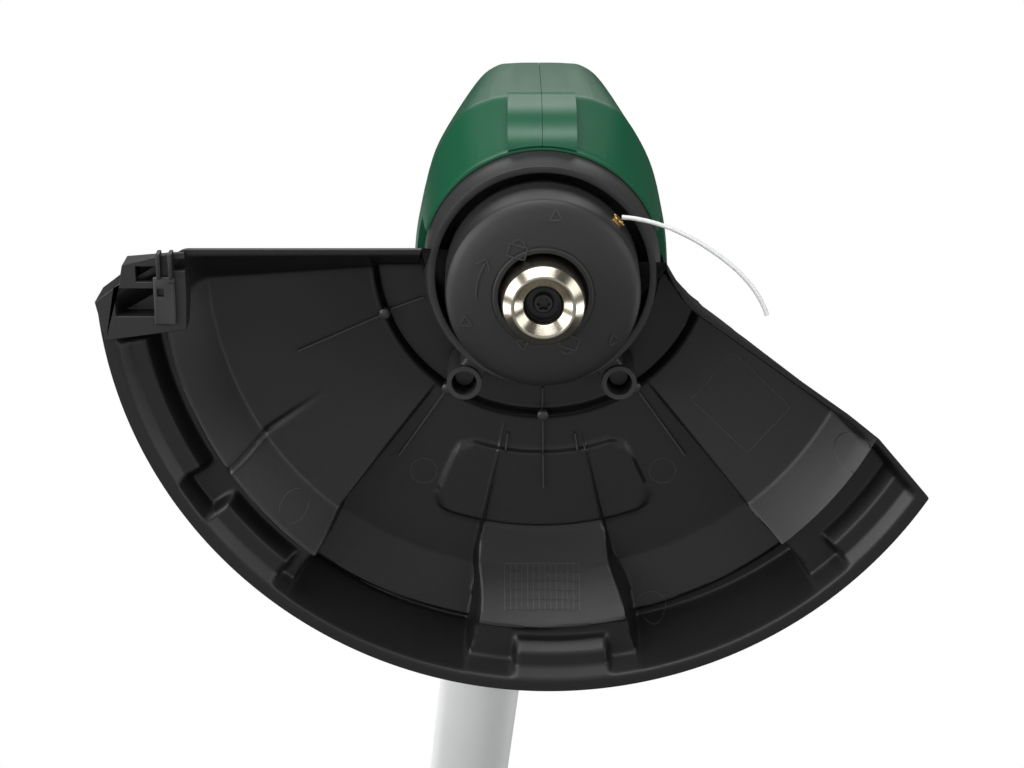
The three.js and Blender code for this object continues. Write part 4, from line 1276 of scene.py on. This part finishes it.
shaft = {
    "lowerTube": [(16.4, 34.4), (18.0, 34.4), (18.0, 430), (16.4, 430)],
    "upperTube": [(14.4, 300), (16.0, 300), (16.0, 835), (14.4, 835)],
    "clampBody": [(18.3, 392), (20.4, 392), (21.4, 393), (23.3, 398), (23.5, 399), (23.5, 431), (23, 432.6),
                  (21, 436), (21, 458), (16.3, 458), (16.3, 430.3), (18.3, 430.3)],
    "clampNut": [(21.4, 436.6), (24.6, 437), (25.6, 438), (26.3, 442), (26.3, 461), (25.8, 464), (24, 470.6),
                 (22.8, 472), (16.3, 472), (16.3, 458.4), (21.4, 458.4)],
    "nutRibs": 20,
    "nutRib": ((2.6, 3.4, 19), (26.2, 0, 451.5), 1.0),
    "bodyRings": (402, 407, 412, 417),
    "bodyRingAt": 23.2,
}


def makeTubes(settings):
    for name, outline, body, node in (("tube_lower", "lowerTube", "lower_shaft", "lower_tube"),
                                      ("tube_upper", "upperTube", "root", "upper_tube")):
        finished(name, alongShaft(settings[outline], 128), shaftPlace, body, "shaftAluminium", [node],
                 edge=0.3, sharp=40)
    body = alongShaft(settings["clampBody"])
    addRings(body, settings["bodyRingAt"], settings["bodyRings"])
    finished("clamp_collar", body, shaftPlace, "lower_shaft", "bodyBlack", ["clamp_body"], edge=0.3, sharp=28)
    nut = alongShaft(settings["clampNut"])
    for i in range(settings["nutRibs"]):
        turn = Matrix.Rotation(math.tau * i / settings["nutRibs"], 4, "Z")
        addPart(nut, movedBy(softBlock(*settings["nutRib"]), alongY @ turn))
    finished("clamp_ring", nut, shaftPlace, "shaft_clamp", "bodyBlack", ["clamp_nut"], edge=0.4, sharp=28)


neck = {
    "knuckle": (24.0, -12.9, 12.9),  # radius, from, to
    "arm": ((25.8, 26, 30), (0, 20, 0)),
    "pinHole": (4.3, -20, 20),
    "cableWay": (5.2, -30, 34),
    "socket": [(18.3, 34.2), (18.3, 86), (19.4, 86), (20.6, 85.4), (21.5, 82), (21.5, 40), (22.4, 34),
               (22.4, 28), (20.6, 26.4), (5.2, 26.4), (5.2, 34.2)],
    "rings": (50, 56, 70, 76),
    "ringAt": 21.2,
}


def makeNeck(settings):
    form = rough("neckWork", movedBy(rod(*settings["knuckle"], 96), alongX))
    form = combined(form, rough("armWork", block(*settings["arm"])), "UNION")
    form = combined(form, rough("pinWork", movedBy(rod(*settings["pinHole"], 32), alongX)), "DIFFERENCE")
    form = combined(form, rough("wayWork", movedBy(rod(*settings["cableWay"], 40), alongY)), "DIFFERENCE")
    fromRough("neck_knuckle", form, shaftPlace, "lower_shaft", "bodyBlack", ["tilt_neck"], edge=1.2,
              segments=3)
    socket = alongShaft(settings["socket"])
    addRings(socket, settings["ringAt"], settings["rings"])
    finished("neck_socket", socket, shaftPlace, "lower_shaft", "bodyBlack", edge=0.4, sharp=28)


makeTubes(shaft)
makeNeck(neck)
print("shaft made")


# front handle
loop = {
    "station": 640,
    "pivot": 31,
    "lean": 0.36,
    "side": [(2, 56), (34, 60), (60, 79), (66, 106), (54, 136), (28, 149)],
    "radius": 10.8,
    "pathSteps": 90,
    "lug": (7.6, -4.7, 4.7),  # radius, from, to
    "stem": ((9.4, 15, 24), -4, 43),  # size, offset along the shaft, height
    "lugHole": (3.4, -20, 20),
    "boltHole": (3.4, -30, 30),
    "saddle": [(16.3, -18), (20.2, -18), (21, -17), (21, 17), (20.2, 18), (16.3, 18)],
    "earsAt": (-9, 9),
    "ear": (10.5, 4),  # radius, half thickness
    "earFoot": ((8, 21, 17), 22.5),
    "pad": ((26, 30, 6), 20),
    "tubeRoom": (16.3, 560, 720),
    "knob": [(0, 20.4), (3.4, 20.4), (3.4, 13.4), (8, 13.4), (9.4, 14.0), (14.2, 17), (14.8, 18.4),
             (14.8, 25.6), (13.6, 27.6), (11.6, 28.6), (0, 29)],
    "knobLobes": 8,
    "knobLobe": ((4, 6, 9.4), (13.2, 0, 22), 1.6),
}


def swept(name, points, radius):
    # a round bar along a path, as a mesh to work on
    curve = bpy.data.curves.new(name, "CURVE")
    curve.dimensions = "3D"
    curve.bevel_depth = radius
    curve.bevel_resolution = 9
    curve.use_fill_caps = True
    path = curve.splines.new("POLY")
    path.points.add(len(points) - 1)
    for knot, point in zip(path.points, points):
        knot.co = (*point, 1)
    bar = linked(name, curve)
    graph = bpy.context.evaluated_depsgraph_get()
    mesh = bpy.data.meshes.new_from_object(bar.evaluated_get(graph))
    bpy.data.objects.remove(bar)
    bm = bmesh.new()
    bm.from_mesh(mesh)
    return bm


def makeLoop(settings):
    station, pivot, side = settings["station"], settings["pivot"], settings["side"]
    ring = [(-x, z) for x, z in side] + [(x, z) for x, z in reversed(side)]
    ring = [(x, station - settings["lean"] * (z - pivot), z) for x, z in ring]
    grip = swept("loopWork", spline(ring, settings["pathSteps"]), settings["radius"])
    finished("loop_grip", grip, shaftPlace, "front_handle", "gripRubber", ["aux_handle_loop"], sharp=60)

    lug = rough("lugWork", across(rod(*settings["lug"], 64), station, pivot))
    size, offset, height = settings["stem"]
    lug = combined(lug, rough("stemWork", block(size, (0, station + offset, height))), "UNION")
    hole = across(rod(*settings["lugHole"], 32), station, pivot)
    lug = combined(lug, rough("boltWork", hole), "DIFFERENCE")
    fromRough("loop_root", lug, shaftPlace, "front_handle", "bodyBlack", edge=0.8, segments=3)

    saddle = turned(settings["saddle"], 96)
    saddle = rough("saddleWork", movedBy(saddle, Matrix.Translation((0, station, 0)) @ alongY))
    radius, half = settings["ear"]
    for place in settings["earsAt"]:
        ear = rough("earWork", across(rod(radius, place - half, place + half, 64), station, pivot))
        size, height = settings["earFoot"]
        ear = combined(ear, rough("footWork", block(size, (place, station, height))), "UNION")
        saddle = combined(saddle, ear, "UNION")
    size, height = settings["pad"]
    saddle = combined(saddle, rough("padWork", block(size, (0, station, height))), "UNION")
    room = movedBy(rod(*settings["tubeRoom"], 96), alongY)
    saddle = combined(saddle, rough("tubeWork", room), "DIFFERENCE")
    bolt = across(rod(*settings["boltHole"], 32), station, pivot)
    saddle = combined(saddle, rough("boltWork", bolt), "DIFFERENCE")
    fromRough("loop_saddle", saddle, shaftPlace, "root", "bodyBlack", ["aux_handle_saddle"], edge=0.8,
              segments=3)

    knob = turned(settings["knob"], 96)
    for i in range(settings["knobLobes"]):
        turn = Matrix.Rotation(math.tau * i / settings["knobLobes"], 4, "Z")
        addPart(knob, movedBy(softBlock(*settings["knobLobe"]), turn))
    finished("loop_knob", across(knob, station, pivot), shaftPlace, "front_knob", "gripRubber",
             ["aux_handle_knob"], edge=0.4, sharp=28)


makeLoop(loop)
print("front handle made")


# rear handle
handle = {
    "outline": [(790, -23), (790, 23), (846, 25), (872, 37), (905, 43), (950, 44), (990, 40), (1030, 32),
                (1066, 20), (1084, 6), (1090, -20), (1090, -58), (976, -58), (930, -52), (880, -38),
                (846, -28)],
    "opening": [(880, 2), (896, 12), (930, 15), (975, 13), (1008, 4), (1018, -12), (1010, -28), (985, -33),
                (930, -28), (892, -18)],
    "foot": [(978, -58), (1090, -58), (1090, -34), (1000, -34)],
    "corners": (16, 14, 7),  # of the outline, the opening and the foot
    "half": 21.0,
    "footHalf": 36.0,
    "through": 60,  # half the length of a cut from side to side
    "tubeRoom": (16.3, 700, 839),
    "triggerRoom": ([(894, -4), (894, 24), (934, 24), (934, -4)], 7.4),
    "lockRooms": [(7.4, 20, 60), (9.2, 26.4, 34)],
    "contactRoom": ([(982, -60), (1087, -60), (1087, -50.2), (982, -50.2)], 15.9),
    "slots": range(1040, 1076, 7),  # air slots in both flanks
    "slot": ((3, 3, 14), 1.2),
    "slotHeight": -8,
    "screws": [(856, 14), (1044, 14)],
    "screwSink": (3.9, 17.6, 60),
    "gap": 0.3,
    "grip": (914, 1006),
    "gripRise": 0.7,
    "trigger": [(894.4, 17), (894.4, 23), (902, 23.6), (926, 18), (932, 10), (929, -1), (920, -5), (908, 2)],
    "lock": [(0, 30), (8.6, 30), (8.6, 33), (7, 33), (7, 44.4), (6.6, 46.2), (5.6, 47.2),
             (3, 47.4), (0, 47.2)],
    "lockStation": 884,
}


def makeHandle(settings):
    half, through, rise = settings["half"], settings["through"], settings["gripRise"]
    outlineCorner, openingCorner, footCorner = settings["corners"]
    outline = rounded(settings["outline"], outlineCorner)
    opening = rounded(settings["opening"], openingCorner)
    lockPlace = Matrix.Translation((0, settings["lockStation"], 0))
    shell = rough("shellWork", sideSlab(outline, half, 7.5, 6))
    foot = sideSlab(rounded(settings["foot"], footCorner), settings["footHalf"], 4, 4)
    shell = combined(shell, rough("footWork", foot), "UNION")
    cuts = [sideSlab(opening, through), movedBy(rod(*settings["tubeRoom"], 64), alongY),
            sideSlab(*settings["triggerRoom"])]
    cuts += [movedBy(rod(*room, 40), lockPlace) for room in settings["lockRooms"]]
    cuts.append(sideSlab(*settings["contactRoom"]))
    size, corner = settings["slot"]
    for station in settings["slots"]:
        for side in (-1, 1):
            cuts.append(softBlock(size, (side * (half + 0.2), station, settings["slotHeight"]), corner))
    cuts += [across(rod(*settings["screwSink"], 32), *place) for place in settings["screws"]]
    for cut in cuts:
        shell = combined(shell, rough("cutWork", cut), "DIFFERENCE")
    for name, part in halves(shell, settings["gap"]):
        finished(f"handle_{name}", part, shaftPlace, "root", "shellGreen", [f"rear_handle_{name}"], edge=0.7,
                 segments=3, sharp=30)

    first, last = settings["grip"]
    sleeve = rough("sleeveWork", sideSlab(grown(outline, rise), half + rise, 8.2, 6))
    zone = softBlock((through, last - first, through), (0, (first + last) / 2, 33), 5)
    sleeve = combined(sleeve, rough("zoneWork", zone), "INTERSECT")
    inside = sideSlab(grown(opening, -rise), through)
    sleeve = combined(sleeve, rough("insideWork", inside), "DIFFERENCE")
    fromRough("handle_grip", sleeve, shaftPlace, "root", "gripRubber", edge=0.5)

    trigger = sideSlab(rounded(settings["trigger"], 4), 7, 1.8, 4)
    finished("trigger_lever", trigger, shaftPlace, "trigger", "gripRubber", ["trigger"], sharp=40)
    lock = movedBy(turned(settings["lock"], 64), lockPlace)
    finished("lock_cap", lock, shaftPlace, "lock_off", "gripRubber", ["lock_button"], edge=0.25, sharp=28)


makeHandle(handle)
print("rear handle made")


# battery
battery = {
    "front": 978.0, "back": 1091.5, "top": -58.3, "floor": -112.0, "half": 37.0,
    "split": -86.0,
    "gap": 0.3,
    "round": 9.0,
    "wall": 2.4,
    "ribStations": (996, 1008, 1020, 1032, 1044, 1056, 1068),
    "ribHeight": -99,
    "groove": ((1.6, 4, 17), 0.6),
    "buttonHeight": -66,
    "button": ((12, 11, 8), 1.4),
    "window": ((12.8, 30, 9), 0.8),
    "buttonRibs": (-68, -66, -64),
    "buttonRib": ((9, 1.2, 0.9), 0.3),
}


def box(front, back, low, high):
    return [(front, low), (front, high), (back, high), (back, low)]


def makeBattery(settings):
    front, back, top, floor = (settings[key] for key in ("front", "back", "top", "floor"))
    half, wall = settings["half"], settings["wall"]
    ends = {"pack_top": ("battery_cover", settings["split"] + settings["gap"] / 2, top + 1),
            "pack_bottom": ("battery_base", floor - 1, settings["split"] - settings["gap"] / 2)}
    for name, (node, low, high) in ends.items():
        outline = rounded(box(front, back, floor, top), settings["round"])
        form = rough("packWork", sideSlab(outline, half, 6, 5))
        hollow = sideSlab(box(front + wall, back - wall, floor + wall, top - wall), half - wall)
        form = combined(form, rough("hollowWork", hollow), "DIFFERENCE")
        zone = block((200, 300, high - low), (0, 1035, (high + low) / 2))
        form = combined(form, rough("zoneWork", zone), "INTERSECT")
        if name == "pack_top":
            size, corner = settings["window"]
            cuts = [softBlock(size, (0, front, settings["buttonHeight"]), corner)]
        else:
            size, corner = settings["groove"]
            cuts = [softBlock(size, (side * half, station, settings["ribHeight"]), corner)
                    for station in settings["ribStations"] for side in (-1, 1)]
        for cut in cuts:
            form = combined(form, rough("cutWork", cut), "DIFFERENCE")
        fromRough(name, form, shaftPlace, "battery", "bodyBlack", [node], edge=0.6, segments=3)
    size, corner = settings["button"]
    button = softBlock(size, (0, front - 1, settings["buttonHeight"]), corner)
    size, corner = settings["buttonRib"]
    for height in settings["buttonRibs"]:
        addPart(button, softBlock(size, (0, front - 6.6, height), corner))
    finished("pack_button", button, shaftPlace, "battery_latch", "gripRubber", ["battery_button"], sharp=40)


makeBattery(battery)
print("battery made")


# finishes of the parts that stay as they are
carried = {
    "capBlack": ["drive_hub", "cooling_fan", "line_reel"],
    "lineNylon": ["wound_line"],
    "zincPlate": ["motor_shaft", "motor_can", "motor_plate", "bump_spring", "tilt_pin_left", "tilt_pin_right",
                  "neck_screw", "aux_handle_bolt", "handle_screw_1", "handle_screw_2", "handle_screw_3",
                  "housing_screw_1", "housing_screw_2"],
    "darkScrew": ["guard_screw_left", "guard_screw_right", "cutter_screw"],
    "woundCopper": ["rotor_core"],
    "polishedSteel": ["lower_bearing", "upper_bearing", "cutter_blade"],
    "bodyBlack": ["contact_block", "power_switch"],
    "gripRubber": ["spiral_lead", "neck_lead", "tilt_button"],
    "cellWrap": [f"battery_cell_{i}" for i in range(1, 6)],
}


def finishCarried(table):
    for finish, names in table.items():
        for name in names:
            mesh = frame["nodes"][name].data
            mesh.materials.clear()
            mesh.materials.append(finishes[finish])


finishCarried(carried)

print("all pieces made")
